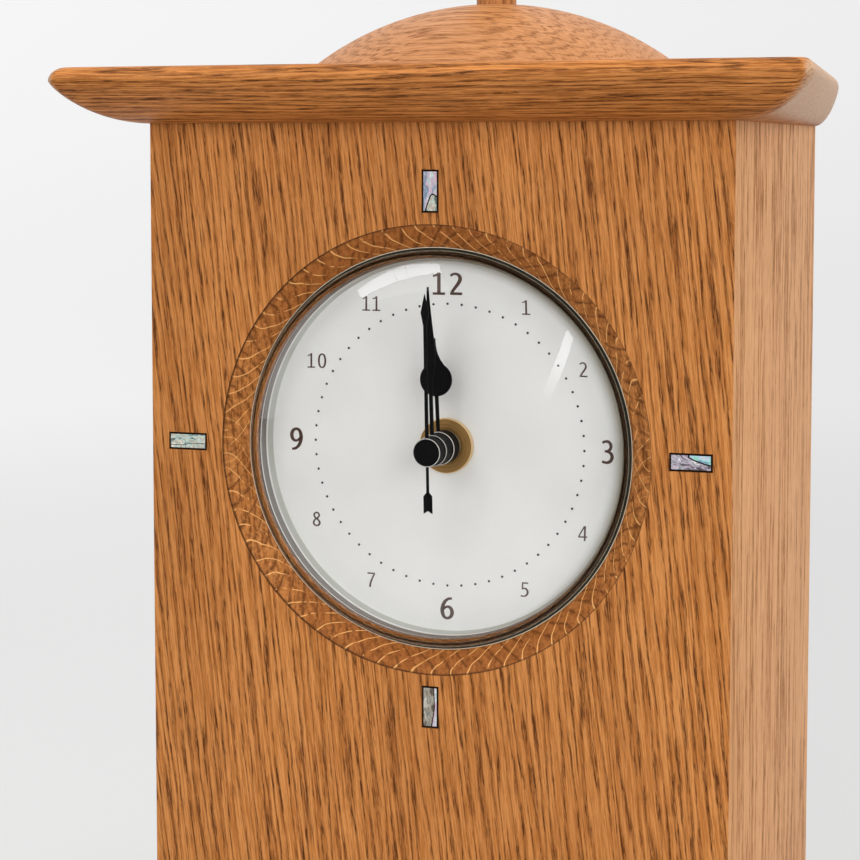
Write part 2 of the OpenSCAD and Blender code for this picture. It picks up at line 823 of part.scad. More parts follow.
module hour_wheel() {
    color(brass) at_dial() difference() {
        union() {
            disc(hour_pipe_r, [hour_hub[0] + 0.6, hour_layer[1]]);
            gear(hour_n, hour_m, hour_layer, hour_phase);
        }
        disc(minute_pipe_r + run_gap, [hour_hub[0] - over, hour_layer[1] + over]);
    }
}

module fifth_wheel() {
    color("#e9e7df") at_dial() translate(fifth_at) {
        arbor(0.4);
        gear(fifth_pinion_n, second_m, [second_layer[0] - 0.2, fifth_layer[0]], fifth_phase, true);
        gear(fifth_n, fifth_m, fifth_layer, fifth_phase);
    }
}

module motor_rotor() {
    color("#6d6f74") at_dial() translate(rotor_at) {
        arbor(0.4);
        disc(magnet_r, [stator_layer[0] - 0.3, stator_layer[1] + 1.4]);
        gear(rotor_n, fifth_m, [fifth_layer[0] - 0.2, fifth_layer[1] + 0.2], rotor_phase, true);
    }
}

coil_y = 26;
coil_x = [rotor_at[0] - 6.5, rotor_at[0] + 6.5];
arm_w = 3.4;

module motor_stator() {
    x = rotor_at[0];
    outer = [coil_x[0] - arm_w, coil_x[1] + arm_w];
    color(steel) at_dial() difference() {
        union() {
            block(outer, [rotor_at[1] - 4.8, rotor_at[1] + 4.8], stator_layer);
            block([outer[0], coil_x[0]], [rotor_at[1], coil_y + 2.4], stator_layer);
            block([coil_x[1], outer[1]], [rotor_at[1], coil_y + 2.4], stator_layer);
        }
        translate(rotor_at) disc(magnet_r + 0.4, [stator_layer[0] - over, stator_layer[1] + over]);
    }
}

module motor_coil() {
    middle = stator_layer[1] + 0.7;
    color("#b5622f") at_dial() {
        block([coil_x[0] - arm_w, coil_x[1] + arm_w], [coil_y - 1.2, coil_y + 1.2], [stator_layer[1], stator_layer[1] + 1.4]);
        translate([coil_x[0] + 0.4, coil_y, -middle]) rotate([0, 90, 0]) {
            cylinder(h = coil_x[1] - coil_x[0] - 0.8, r = 2.1);
            cylinder(h = 0.6, r = 2.4);
            translate([0, 0, coil_x[1] - coil_x[0] - 1.4]) cylinder(h = 0.6, r = 2.4);
        }
    }
}

module circuit_board() {
    color("#2f6b3f") at_dial() difference() {
        train_outline(board_layer);
        for (p = post_at) translate(p) disc(1.1, [board_layer[0] - over, board_layer[1] + over]);
    }
}

switch_d = board_layer[1] + 1.4;
button_d = switch_d + 0.1 + button_travel;

module circuit_parts() {
    back = board_layer[1];
    color("#3a3b3f") at_dial() {
        for (p = button_at) translate(p) {
            block([-3, 3], [-3, 3], [back, back + 1]);
            disc(1.6, [back + 1, switch_d]);
        }
        block([-5, 5], [4, 12], [back, back + 1.6]);
        translate([-16, 6, -back - 1.1]) rotate([0, 90, 0]) cylinder(h = 7, r = 1.1, $fn = 32);
        block([13, 17], [2, 9], [back, back + 1.4]);
    }
}

module movement_cover() {
    x = mv_w / 2;
    color("#45464a") at_dial() difference() {
        union() {
            panel([-x, x], [bay_top + 0.3, mv_top], 3, [cover_d, mv_back]);
            for (p = post_at) translate(p) disc(2.2, [board_layer[1], cover_d + 0.1]);
        }
        for (p = button_at) translate(p) disc(button_r + run_gap, [cover_d - over, mv_back + over]);
        for (p = post_at) translate(p) disc(1.1, [board_layer[1] - over, mv_back + over]);
    }
}

module movement_screws() {
    color(steel) at_dial() for (p = post_at) translate(p) {
        difference() {
            disc(1.9, [mv_back, mv_back + 1.1]);
            for (turn = [0, 90]) rotate([0, 0, turn]) block([-1.2, 1.2], [-0.25, 0.25], [mv_back + 0.5, mv_back + 2]);
        }
        disc(0.85, [board_layer[0] - 5, mv_back]);
    }
}

module push_button(place, shade) {
    color(shade) at_dial() translate(place) {
        disc(button_r, [button_d, mv_back + button_proud]);
        disc(button_r + 0.9, [button_d, cover_d - run_gap]);
    }
}

module set_button() {
    push_button(button_at[0], "#d9d9d6");
}

module receive_button() {
    push_button(button_at[1], "#3f6fae");
}

module battery() {
    color("#c9a227") at_dial() translate([-cell_l / 2, cell_y, -cell_d]) rotate([0, 90, 0]) {
        rotate_extrude() polygon([
            [0, 0], [cell_r - 0.5, 0], [cell_r, 0.5], [cell_r, cell_l - 0.5], [cell_r - 0.5, cell_l],
            [nub_r, cell_l], [nub_r, cell_l + nub_l], [0, cell_l + nub_l]
        ]);
    }
}

// A flat contact at the cell's nub and a bowed leaf at its other end
module battery_contacts() {
    wall = cell_l / 2 + 2.3;
    t = 0.4;
    bow = wall - cell_l / 2 - t - 0.1;
    color(steel) at_dial() {
        block([wall - t, wall], [cell_y - 5, cell_y + 5], [mv_inner + 0.5, cell_d + 5]);
        translate([0, 0, -cell_d - 4]) linear_extrude(8) polygon(concat(
            [for (i = [0:12]) [-wall + bow * sin(15 * i), cell_y - 6 + i]],
            [for (i = [12:-1:0]) [-wall + t + bow * sin(15 * i), cell_y - 6 + i]]
        ));
    }
}

module hand_blade(depth, turn) {
    rotate([0, 0, turn]) translate([0, 0, -depth - blade_t]) linear_extrude(blade_t) children();
}

module second_hand() {
    head = 7.8;
    tail = 5.2;
    neck = second_tail - tail;
    color(black_metal) at_dial() difference() {
        union() {
            disc(second_hub_r, second_hub);
            hand_blade(second_hub[0] + 0.4, second_turn) {
                translate([-0.425, 0]) square([0.85, second_l - head + 0.2]);
                polygon([[0, second_l], [-1.05, second_l - 4.5], [-0.4, second_l - head], [0.4, second_l - head], [1.05, second_l - 4.5]]);
                translate([-0.325, -neck - 0.4]) square([0.65, neck + 0.4]);
                polygon([[-0.3, -neck], [-1.1, -neck - 0.9], [-1.1, -second_tail], [0, -second_tail + 0.7],
                    [1.1, -second_tail], [1.1, -neck - 0.9], [0.3, -neck]]);
            }
        }
        disc(arbor_r + fit_gap / 2, [second_hub[0] + 0.9, second_hub[1] + over]);
    }
}

// Half the minute hand's width along its length: a stem, a leaf and a needle point
module minute_hand() {
    leaf_at = 24;
    leaf_w = 1.5;
    color(black_metal) at_dial() difference() {
        union() {
            disc(minute_hub_r, minute_hub);
            hand_blade(minute_hub[0] + 0.3, minute_turn) polygon([
                [-stem_w / 2, 0], [-stem_w / 2, 15.5], [-stem_w / 2 - 0.25, 18], [-leaf_w * 0.86, 21.5], [-leaf_w, leaf_at],
                [-leaf_w * 0.82, 27], [-leaf_w * 0.5, 32], [-leaf_w * 0.25, 36.5], [-0.2, minute_l], [0.2, minute_l],
                [leaf_w * 0.25, 36.5], [leaf_w * 0.5, 32], [leaf_w * 0.82, 27], [leaf_w, leaf_at],
                [leaf_w * 0.86, 21.5], [stem_w / 2 + 0.25, 18], [stem_w / 2, 15.5], [stem_w / 2, 0]
            ]);
        }
        disc(minute_pipe_r + fit_gap / 2, [minute_hub[0] + 0.5, minute_hub[1] + over]);
        disc(arbor_r + run_gap, [minute_hub[0] - over, minute_hub[1] + over]);
    }
}

module hour_hand() {
    color(black_metal) at_dial() difference() {
        union() {
            disc(hour_hub_r, hour_hub);
            hand_blade(hour_hub[0] + 0.3, hour_turn) {
                translate([-stem_w / 2, 0]) square([stem_w, spade_at]);
                translate([0, spade_at]) circle(spade_r);
                polygon(concat(
                    [for (i = [0:6]) [-spade_flare(i / 6), spade_rise(i / 6)]],
                    [for (i = [6:-1:0]) [spade_flare(i / 6), spade_rise(i / 6)]]
                ));
            }
        }
        disc(hour_pipe_r + fit_gap / 2, [hour_hub[0] + 0.5, hour_hub[1] + over]);
        disc(minute_pipe_r + run_gap, [hour_hub[0] - over, hour_hub[1] + over]);
    }
}

// The hour hand's disc draws in to a needle on a hollow curve
function spade_flare(s) = 0.25 + (spade_r * 0.86 - 0.25) * pow(1 - s, 2.6);
function spade_rise(s) = spade_at + spade_r * 0.5 + (hour_l - spade_at - spade_r * 0.5) * s;

front_board();
side_board(-1);  // left_side
side_board(1);  // right_side
base_board();
top_plate();
dome();
finial();
joint_dowels();
base_screws();
back_door();
door_knob();
door_stops();
magnet_catch();
strike_plate();
hinge_case_leaves();
hinge_door_leaves();
hinge_pins();
hinge_case_screws();
hinge_door_screws();
inlay(0);  // inlay_12
inlay(90);  // inlay_3
inlay(180);  // inlay_6
inlay(270);  // inlay_9
bezel();
glass_dome();
glass_gasket();
reflector_ring();
dial_plate();
dial_pan();
pan_clips();
clip_screws();
dial_nut();
rubber_washer();
threaded_bushing();
movement_case();
train_plate();
train_bridge();
movement_cover();
movement_screws();
second_wheel();
third_wheel();
centre_wheel();
minute_wheel();
hour_wheel();
fifth_wheel();
motor_rotor();
motor_stator();
motor_coil();
circuit_board();
circuit_parts();
set_button();
receive_button();
antenna_rod();
antenna_coil();
battery();
battery_contacts();
second_hand();
minute_hand();
hour_hand();
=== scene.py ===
import json
import math
import bmesh
import bpy
from mathutils import Euler, Matrix, Vector

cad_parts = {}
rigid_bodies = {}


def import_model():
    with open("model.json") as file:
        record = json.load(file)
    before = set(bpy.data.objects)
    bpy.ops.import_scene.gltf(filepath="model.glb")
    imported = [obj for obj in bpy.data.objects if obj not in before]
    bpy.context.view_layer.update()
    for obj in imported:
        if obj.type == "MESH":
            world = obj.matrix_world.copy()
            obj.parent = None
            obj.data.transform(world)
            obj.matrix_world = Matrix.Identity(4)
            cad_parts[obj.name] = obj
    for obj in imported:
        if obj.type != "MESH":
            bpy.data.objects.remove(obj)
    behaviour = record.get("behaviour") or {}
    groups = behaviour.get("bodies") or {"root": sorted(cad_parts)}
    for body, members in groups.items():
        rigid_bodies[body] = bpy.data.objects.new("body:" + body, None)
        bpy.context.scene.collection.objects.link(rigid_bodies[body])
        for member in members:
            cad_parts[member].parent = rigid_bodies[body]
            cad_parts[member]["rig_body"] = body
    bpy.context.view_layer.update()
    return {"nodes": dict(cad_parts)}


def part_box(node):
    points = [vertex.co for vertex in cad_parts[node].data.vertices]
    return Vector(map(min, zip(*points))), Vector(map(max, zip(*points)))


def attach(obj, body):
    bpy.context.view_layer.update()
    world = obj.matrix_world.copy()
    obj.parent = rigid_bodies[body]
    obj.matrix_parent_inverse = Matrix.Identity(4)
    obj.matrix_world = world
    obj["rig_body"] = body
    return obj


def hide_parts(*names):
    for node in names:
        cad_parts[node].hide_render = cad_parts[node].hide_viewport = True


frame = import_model()
mm = 0.001
print("frame loaded with", len(frame["nodes"]), "nodes")

# places that every piece is measured from
frontLow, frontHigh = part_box("front_board")
dialLow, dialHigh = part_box("dial_plate")
domeLow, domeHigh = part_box("dome")
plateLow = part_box("top_plate")[0]
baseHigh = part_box("base_board")[1]
frontY = frontLow.y
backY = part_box("left_side")[1].y
bodyHalf = frontHigh.x
dialZ = (dialLow.z + dialHigh.z) / 2
dialFace = 13.7  # depth of the dial's face behind the front board's, in mm


def dialPoint(x, y, depth):
    # x right and y up from the dial's centre, depth into the clock, all in mm
    return Vector((x * mm, frontY + depth * mm, dialZ + y * mm))


# Materials

def paint(r, g, b):
    # a colour as seen on screen, turned into the shader's own scale
    def linear(v):
        v /= 255
        return v / 12.92 if v <= 0.04045 else ((v + 0.055) / 1.055) ** 2.4
    return (linear(r), linear(g), linear(b), 1)


def addNode(tree, kind, sockets=None, **settings):
    made = tree.nodes.new(kind)
    for key, value in settings.items():
        setattr(made, key, value)
    for key, value in (sockets or {}).items():
        if isinstance(value, bpy.types.NodeSocket):
            tree.links.new(value, made.inputs[key])
        else:
            made.inputs[key].default_value = value
    return made


def calc(tree, operation, a, b=None, c=None, clamp=False):
    sockets = {i: v for i, v in enumerate((a, b, c)) if v is not None}
    return addNode(tree, "ShaderNodeMath", sockets, operation=operation, use_clamp=clamp).outputs[0]


def spread(tree, value, low, high, start=0.0, end=1.0):
    sockets = {"Value": value, "From Min": low, "From Max": high, "To Min": start, "To Max": end}
    return addNode(tree, "ShaderNodeMapRange", sockets, interpolation_type="SMOOTHSTEP").outputs[0]


def blend(tree, factor, a, b):
    return addNode(tree, "ShaderNodeMix", {0: factor, 6: a, 7: b}, data_type="RGBA").outputs[2]


def vectorCalc(tree, operation, a, b):
    return addNode(tree, "ShaderNodeVectorMath", {0: a, 1: b}, operation=operation).outputs[0]


def scaled(tree, vector, factor):
    return addNode(tree, "ShaderNodeVectorMath", {0: vector, "Scale": factor}, operation="SCALE").outputs[0]


def xyz(tree, vector):
    return addNode(tree, "ShaderNodeSeparateXYZ", {0: vector}).outputs


def distance(tree, a, b):
    return calc(tree, "SQRT", calc(tree, "ADD", calc(tree, "MULTIPLY", a, a), calc(tree, "MULTIPLY", b, b)))


def noise(tree, place, scale, detail=2.0, rough=0.5, stretch=None):
    if stretch:
        place = vectorCalc(tree, "MULTIPLY", place, stretch)
    sockets = {"Vector": place, "Scale": scale, "Detail": detail, "Roughness": rough}
    return addNode(tree, "ShaderNodeTexNoise", sockets).outputs["Fac"]


def objectPoint(tree):
    return addNode(tree, "ShaderNodeTexCoord").outputs["Object"]


def objectPlace(tree, turn=(0, 0, 0), shift=(0, 0, 0)):
    sockets = {"Vector": objectPoint(tree), "Location": shift, "Rotation": [math.radians(a) for a in turn]}
    return addNode(tree, "ShaderNodeMapping", sockets).outputs[0]


def bump(tree, height, strength, distance):
    sockets = {"Height": height, "Strength": strength, "Distance": distance}
    return addNode(tree, "ShaderNodeBump", sockets).outputs[0]


def newMaterial(name, **values):
    material = bpy.data.materials.new(name)
    material.use_nodes = True
    tree = material.node_tree
    shader = next(n for n in tree.nodes if n.type == "BSDF_PRINCIPLED")
    for key, value in values.items():
        shader.inputs[socketNames[key]].default_value = value
    return material, tree, shader


socketNames = {
    "colour": "Base Color", "metal": "Metallic", "rough": "Roughness", "ior": "IOR",
    "clear": "Transmission Weight", "specular": "Specular IOR Level",
    "coat": "Coat Weight", "coatRough": "Coat Roughness",
}

# grain direction, place in the log, distance between rings and colours of each board; shift and pith are in
# metres, ring and bend in mm
oakStyles = {
    "front": dict(turn=(0, 6.5, 0), shift=(0.013, 0, 0), pith=(0.42, 0.11), ring=2.0, bend=1.6, fine=1.0,
                  light=paint(216, 145, 80), middle=paint(187, 116, 53), dark=paint(134, 70, 14),
                  pore=paint(66, 28, 2), end=paint(150, 86, 36), endShare=0.75, rough=0.5, specular=0.22),
    "side": dict(turn=(0, 0, 0), shift=(0, 0.02, 0.3), pith=(0.46, 0.03), ring=1.7, bend=0.9, fine=1.15,
                 light=paint(226, 171, 122), middle=paint(212, 155, 106), dark=paint(178, 120, 70),
                 pore=paint(132, 80, 38), end=paint(160, 110, 70), endShare=0.6, rough=0.55, specular=0.12),
    "plate": dict(turn=(0, 90, 0), shift=(0.02, 0.0, 0.11), pith=(-0.10, 0.34), ring=1.5, bend=3.0,
                  fine=0.95, light=paint(212, 138, 72), middle=paint(162, 96, 38), dark=paint(114, 60, 14),
                  pore=paint(66, 30, 2), end=paint(208, 172, 140), endShare=0.9, rough=0.45, specular=0.22),
    "dome": dict(turn=(0, 90, 0), shift=(0.05, 0.03, 0.4), pith=(-0.33, 0.1), ring=1.5, bend=1.6, fine=0.85,
                 light=paint(207, 147, 97), middle=paint(189, 127, 75), dark=paint(146, 88, 40),
                 pore=paint(100, 52, 14), end=paint(196, 136, 86), endShare=0.35, rough=0.42, specular=0.25),
    "neck": dict(turn=(0, 0, 0), shift=(0.21, 0.1, 0.2), pith=(0.12, 0.3), ring=1.4, bend=1.5, fine=0.8,
                 light=paint(212, 146, 88), middle=paint(190, 122, 66), dark=paint(150, 90, 40),
                 pore=paint(105, 58, 20), end=paint(170, 108, 58), endShare=0.6, rough=0.42, specular=0.25),
    "door": dict(turn=(0, 1.5, 0), shift=(-0.31, 0.2, 0.1), pith=(0.05, 0.5), ring=2.4, bend=3.0, fine=0.8,
                 light=paint(210, 150, 98), middle=paint(194, 132, 80), dark=paint(156, 98, 54),
                 pore=paint(112, 66, 32), end=paint(160, 104, 60), endShare=0.6, rough=0.5, specular=0.25),
    "beech": dict(turn=(0, 0, 0), shift=(0.4, 0.2, 0.1), pith=(0.1, 0.2), ring=1.2, bend=0.6, fine=0.4,
                  light=paint(226, 190, 150), middle=paint(214, 174, 132), dark=paint(198, 155, 112),
                  pore=paint(180, 136, 94), end=paint(200, 160, 118), endShare=0.5, rough=0.6, specular=0.25),
}


def oakMaterial(name, style, cutter=None):
    material, tree, shader = newMaterial(name, rough=style["rough"], ior=1.47, specular=style["specular"])
    raw = objectPoint(tree)
    place = objectPlace(tree, style["turn"], style["shift"])
    # the grain wanders a little to either side along the board
    stretched = vectorCalc(tree, "MULTIPLY", place, (14, 14, 5))
    wander = addNode(tree, "ShaderNodeTexNoise", {"Vector": stretched, "Scale": 1.0, "Detail": 1.0})
    centred = vectorCalc(tree, "SUBTRACT", wander.outputs["Color"], (0.5, 0.5, 0.5))
    place = vectorCalc(tree, "ADD", place, scaled(tree, centred, style["bend"] * mm * 2))
    # growth rings round a far pith, uneven along the board
    point = xyz(tree, place)
    radius = distance(tree, calc(tree, "SUBTRACT", point[0], style["pith"][0]),
                      calc(tree, "SUBTRACT", point[1], style["pith"][1]))
    uneven = noise(tree, place, 1.0, 4.0, 0.62, (210, 210, 11))
    rings = calc(tree, "MULTIPLY_ADD", uneven, 4.2, calc(tree, "DIVIDE", radius, style["ring"] * mm))
    near = calc(tree, "PINGPONG", rings, 0.5)
    early = spread(tree, near, 0.18, 0.46)
    vein = spread(tree, near, 0.39, 0.49)
    # fibres, and the short dark pores that lie thick in the early part of each ring
    fibre = noise(tree, place, 1.0, 3.0, 0.7, (2000, 2000, 60))
    pores = spread(tree, noise(tree, place, 1.0, 2.0, 0.6, (2700, 2700, 190)), 0.49, 0.6)
    flecks = spread(tree, noise(tree, place, 1.0, 2.0, 0.6, (2900, 2900, 240)), 0.54, 0.66)
    patch = noise(tree, place, 1.0, 2.0, 0.5, (40, 40, 9))
    broken = spread(tree, noise(tree, place, 1.0, 3.0, 0.7, (1300, 1300, 110)), 0.4, 0.6, 0.1, 1.0)
    veins = calc(tree, "MULTIPLY", vein, broken)
    pores = calc(tree, "MULTIPLY", pores, calc(tree, "MULTIPLY_ADD", early, 0.75, 0.2))
    flecks = calc(tree, "MULTIPLY", flecks, calc(tree, "MULTIPLY_ADD", early, -0.25, 0.65))
    fine = style["fine"]
    colour = blend(tree, spread(tree, fibre, 0.4, 0.6), style["light"], style["middle"])
    colour = blend(tree, calc(tree, "MULTIPLY", early, 0.5 * fine), colour, style["dark"])
    colour = blend(tree, calc(tree, "MULTIPLY", veins, 0.62 * fine), colour, style["pore"])
    colour = blend(tree, calc(tree, "MULTIPLY", pores, 0.85 * fine, clamp=True), colour, style["pore"])
    colour = blend(tree, flecks, colour, style["light"])
    colour = blend(tree, spread(tree, patch, 0.4, 0.7, 0.0, 0.2), colour, style["dark"])
    # cut across the grain the wood has its end colour
    axis = Vector((0, 0, 1))
    axis.rotate(Euler([math.radians(a) for a in style["turn"]]).to_matrix().inverted())
    facing = addNode(tree, "ShaderNodeNewGeometry").outputs["Normal"]
    across = addNode(tree, "ShaderNodeVectorMath", {0: facing, 1: tuple(axis)}, operation="DOT_PRODUCT")
    across = calc(tree, "ABSOLUTE", across.outputs["Value"])
    speckle = noise(tree, raw, 1600, 2.0, 0.6)
    endColour = blend(tree, spread(tree, speckle, 0.4, 0.68, 0.0, 0.5), style["end"], style["dark"])
    colour = blend(tree, spread(tree, across, 0.25, 0.62, 0.0, style["endShare"]), colour, endColour)
    height = calc(tree, "MULTIPLY_ADD", pores, -0.8, calc(tree, "MULTIPLY", fibre, 0.4))
    if cutter:
        colour, height = cutterMarks(tree, raw, colour, height, cutter)
    tree.links.new(colour, shader.inputs["Base Color"])
    tree.links.new(bump(tree, height, 0.35, 0.0001), shader.inputs["Normal"])
    tree.links.new(calc(tree, "MULTIPLY_ADD", pores, 0.25, style["rough"]), shader.inputs["Roughness"])
    return material


def cutterMarks(tree, place, colour, height, style):
    # the crossing crescents that a turning cutter leaves round the chamfer, and a painted shadow line that
    # darkens it at its outer rim
    point = xyz(tree, place)
    up = calc(tree, "SUBTRACT", point[2], dialZ)
    angle = calc(tree, "ARCTAN2", up, point[0])
    radius = distance(tree, up, point[0])
    off = calc(tree, "DIVIDE", calc(tree, "SUBTRACT", radius, style["middle"] * mm), style["half"] * mm)
    square = calc(tree, "MULTIPLY", off, off)
    jitter = noise(tree, place, 105, 2.0)

    def arcs(slant, bow, wobble, width, grain):
        lean = calc(tree, "MULTIPLY_ADD", off, slant, calc(tree, "MULTIPLY", square, bow))
        turns = calc(tree, "MULTIPLY_ADD", angle, style["count"] / (2 * math.pi), lean)
        turns = calc(tree, "MULTIPLY_ADD", jitter, wobble, turns)
        line = spread(tree, calc(tree, "PINGPONG", turns, 0.5), 0.5 - width, 0.5)
        return calc(tree, "MULTIPLY", line, spread(tree, noise(tree, place, grain, 3.0, 0.7), 0.38, 0.5))

    def mirrored(slant, bow, wobble, width, grain):
        # the cutter swept the other way round on the lower half
        upper = spread(tree, up, -0.02, 0.02)
        lower = calc(tree, "SUBTRACT", 1.0, upper)
        return calc(tree, "ADD", calc(tree, "MULTIPLY", arcs(slant, bow, wobble, width, grain), upper),
                    calc(tree, "MULTIPLY", arcs(-slant, -bow, wobble, width, grain), lower))
    golden = mirrored(-0.7, 0.35, 1.1, style["width"], 330)
    shade = mirrored(0.55, -0.2, -1.5, style["width"] * 2.6, 420)
    mottle = spread(tree, noise(tree, place, 700, 3.0, 0.7), 0.42, 0.64, 0.0, 0.45)
    colour = blend(tree, 0.25, colour, style["base"])
    colour = blend(tree, mottle, colour, style["dark"])
    colour = blend(tree, calc(tree, "MULTIPLY", shade, 0.75), colour, style["dark"])
    colour = blend(tree, calc(tree, "MULTIPLY", golden, 0.95), colour, style["bright"])
    # painted shadow: the chamfer darkens towards its outer rim, where the step's shadow falls
    colour = blend(tree, spread(tree, off, 0.84, 0.98, 0.0, 0.75), colour, style["rim"])
    return colour, calc(tree, "MULTIPLY_ADD", golden, 0.8, height)


# the ring that the cutter crossed, middle and half width in mm, and its number of sweeps; rim is the colour
# of the painted shadow at the chamfer's outer edge
cutterStyle = dict(middle=52.75, half=2.75, count=74, width=0.07,
                   base=paint(190, 114, 50), dark=paint(92, 46, 10), bright=paint(252, 190, 116),
                   rim=paint(60, 28, 6))


def darker(colour, share):
    return tuple(c * share for c in colour[:3]) + (1,)


def metalMaterial(name, colour, rough, grain=0.0, scale=(900, 900, 900), metal=1.0):
    material, tree, shader = newMaterial(name, colour=colour, metal=metal, rough=rough)
    place = objectPlace(tree)
    cloud = noise(tree, place, 1.0, 3.0, 0.6, scale)
    gloss = calc(tree, "MULTIPLY_ADD", cloud, 0.3 * grain, rough - 0.12 * grain)
    tree.links.new(gloss, shader.inputs["Roughness"])
    tree.links.new(blend(tree, cloud, colour, darker(colour, 1 - 0.35 * grain)), shader.inputs["Base Color"])
    tree.links.new(bump(tree, cloud, 0.08 + 0.3 * grain, 0.00003), shader.inputs["Normal"])
    return material


def turnedMaterial(name, colour, rough, pitch, metal):
    # lathe marks: fine circles round the dial's axis
    material, tree, shader = newMaterial(name, colour=colour, metal=metal, rough=rough)
    point = xyz(tree, objectPoint(tree))
    radius = distance(tree, point[0], calc(tree, "SUBTRACT", point[2], dialZ))
    sockets = {"W": calc(tree, "DIVIDE", radius, pitch * mm), "Scale": 1.0, "Detail": 3.0}
    line = addNode(tree, "ShaderNodeTexNoise", sockets, noise_dimensions="1D").outputs["Fac"]
    shade = darker(colour, 0.42)
    tree.links.new(blend(tree, spread(tree, line, 0.35, 0.7), colour, shade), shader.inputs["Base Color"])
    tree.links.new(bump(tree, line, 0.25, 0.00002), shader.inputs["Normal"])
    tree.links.new(calc(tree, "MULTIPLY_ADD", line, 0.18, rough - 0.07), shader.inputs["Roughness"])
    return material


def plasticMaterial(name, colour, rough, grain=0.15, scale=2600, **more):
    material, tree, shader = newMaterial(name, colour=colour, rough=rough, **more)
    place = objectPlace(tree)
    pebble = noise(tree, place, scale, 2.0, 0.6)
    cloud = noise(tree, place, 60, 2.0)
    tree.links.new(blend(tree, cloud, colour, darker(colour, 0.86)), shader.inputs["Base Color"])
    tree.links.new(bump(tree, pebble, grain, 0.00005), shader.inputs["Normal"])
    tree.links.new(calc(tree, "MULTIPLY_ADD", cloud, 0.1, rough - 0.05), shader.inputs["Roughness"])
    return material


def glassMaterial(name):
    material, tree, shader = newMaterial(name, colour=(1, 1, 1, 1), rough=0.0, ior=1.45, clear=1.0)
    # painted shade: towards the steep wall by the rim the glass is tinted dark, standing in for the shadow of
    # the rim and gasket seen through it
    depth = calc(tree, "SUBTRACT", xyz(tree, objectPoint(tree))[1], frontY)
    edge = spread(tree, depth, rimPaintedShade["from"] * mm, rimPaintedShade["to"] * mm)
    tree.links.new(blend(tree, edge, rimPaintedShade["clear"], rimPaintedShade["dark"]), shader.inputs["Base Color"])
    # lamps and room light shine through to the dial, which a solid glass shadow would hide
    clear = addNode(tree, "ShaderNodeBsdfTransparent", {"Color": (1, 1, 1, 1)})
    path = addNode(tree, "ShaderNodeLightPath")
    through = calc(tree, "MAXIMUM", path.outputs["Is Shadow Ray"], path.outputs["Is Diffuse Ray"])
    both = addNode(tree, "ShaderNodeMixShader", {0: through, 1: shader.outputs[0], 2: clear.outputs[0]})
    output = next(n for n in tree.nodes if n.type == "OUTPUT_MATERIAL")
    tree.links.new(both.outputs[0], output.inputs["Surface"])
    return material


# depths in mm between which the glass's painted shade darkens it
rimPaintedShade = {"from": 0.2, "to": 3.2, "clear": (0.995, 1, 0.997, 1), "dark": (0.26, 0.25, 0.19, 1)}


def shellMaterial(name, look):
    # mother-of-pearl: soft bands of grey, pink and green, with a growth line or a split
    material, tree, shader = newMaterial(name, rough=0.2, coat=0.6, coatRough=0.06, ior=1.53)
    place = objectPlace(tree, (0, look["turn"], 0), look["shift"])
    warp = addNode(tree, "ShaderNodeTexNoise", {"Vector": place, "Scale": 260, "Detail": 2.0})
    place = vectorCalc(tree, "ADD", place, scaled(tree, warp.outputs["Color"], 0.0035))
    band = noise(tree, place, 1.0, 2.0, 0.55, look["stretch"])
    ramp = addNode(tree, "ShaderNodeValToRGB", {"Fac": band})
    stops = ramp.color_ramp.elements
    shades = look["shades"]
    low, wide = 0.36, 0.28  # the stretch of the noise that the shades share
    stops[0].position, stops[0].color = low, shades[0]
    stops[1].position, stops[1].color = low + wide, shades[-1]
    for i, shade in enumerate(shades[1:-1]):
        stops.new(low + wide * (i + 1) / (len(shades) - 1)).color = shade
    fine = noise(tree, place, 1.0, 3.0, 0.7, tuple(v * 4 for v in look["stretch"]))
    colour = blend(tree, spread(tree, fine, 0.45, 0.7, 0.0, 0.4), ramp.outputs[0], look["deep"])
    tree.links.new(colour, shader.inputs["Base Color"])
    tree.links.new(bump(tree, fine, 0.08, 0.00004), shader.inputs["Normal"])
    return material


shellShades = {
    "pale": [paint(132, 152, 178), paint(186, 196, 214), paint(226, 184, 206), paint(190, 216, 214),
             paint(240, 240, 246)],
    "green": [paint(106, 112, 104), paint(178, 206, 200), paint(214, 226, 214), paint(182, 172, 154),
              paint(240, 238, 224)],
    "mint": [paint(130, 146, 186), paint(146, 220, 208), paint(172, 236, 222), paint(190, 208, 240),
             paint(226, 244, 240)],
    "mauve": [paint(88, 80, 88), paint(156, 146, 160), paint(216, 204, 220), paint(126, 140, 142),
              paint(244, 238, 244)],
    "umber": [paint(96, 86, 74), paint(140, 128, 110), paint(182, 174, 160), paint(120, 122, 112),
              paint(206, 200, 190)],
}


def shellLook(shades, turn, shift, stretch=(900, 900, 170), deep=paint(120, 120, 126)):
    return dict(shades=shellShades[shades], turn=turn, shift=shift, stretch=stretch, deep=deep)


oak = {key: oakMaterial(key + "Oak", style) for key, style in oakStyles.items()}
oak["chamfer"] = oakMaterial("chamferOak", oakStyles["front"], cutterStyle)

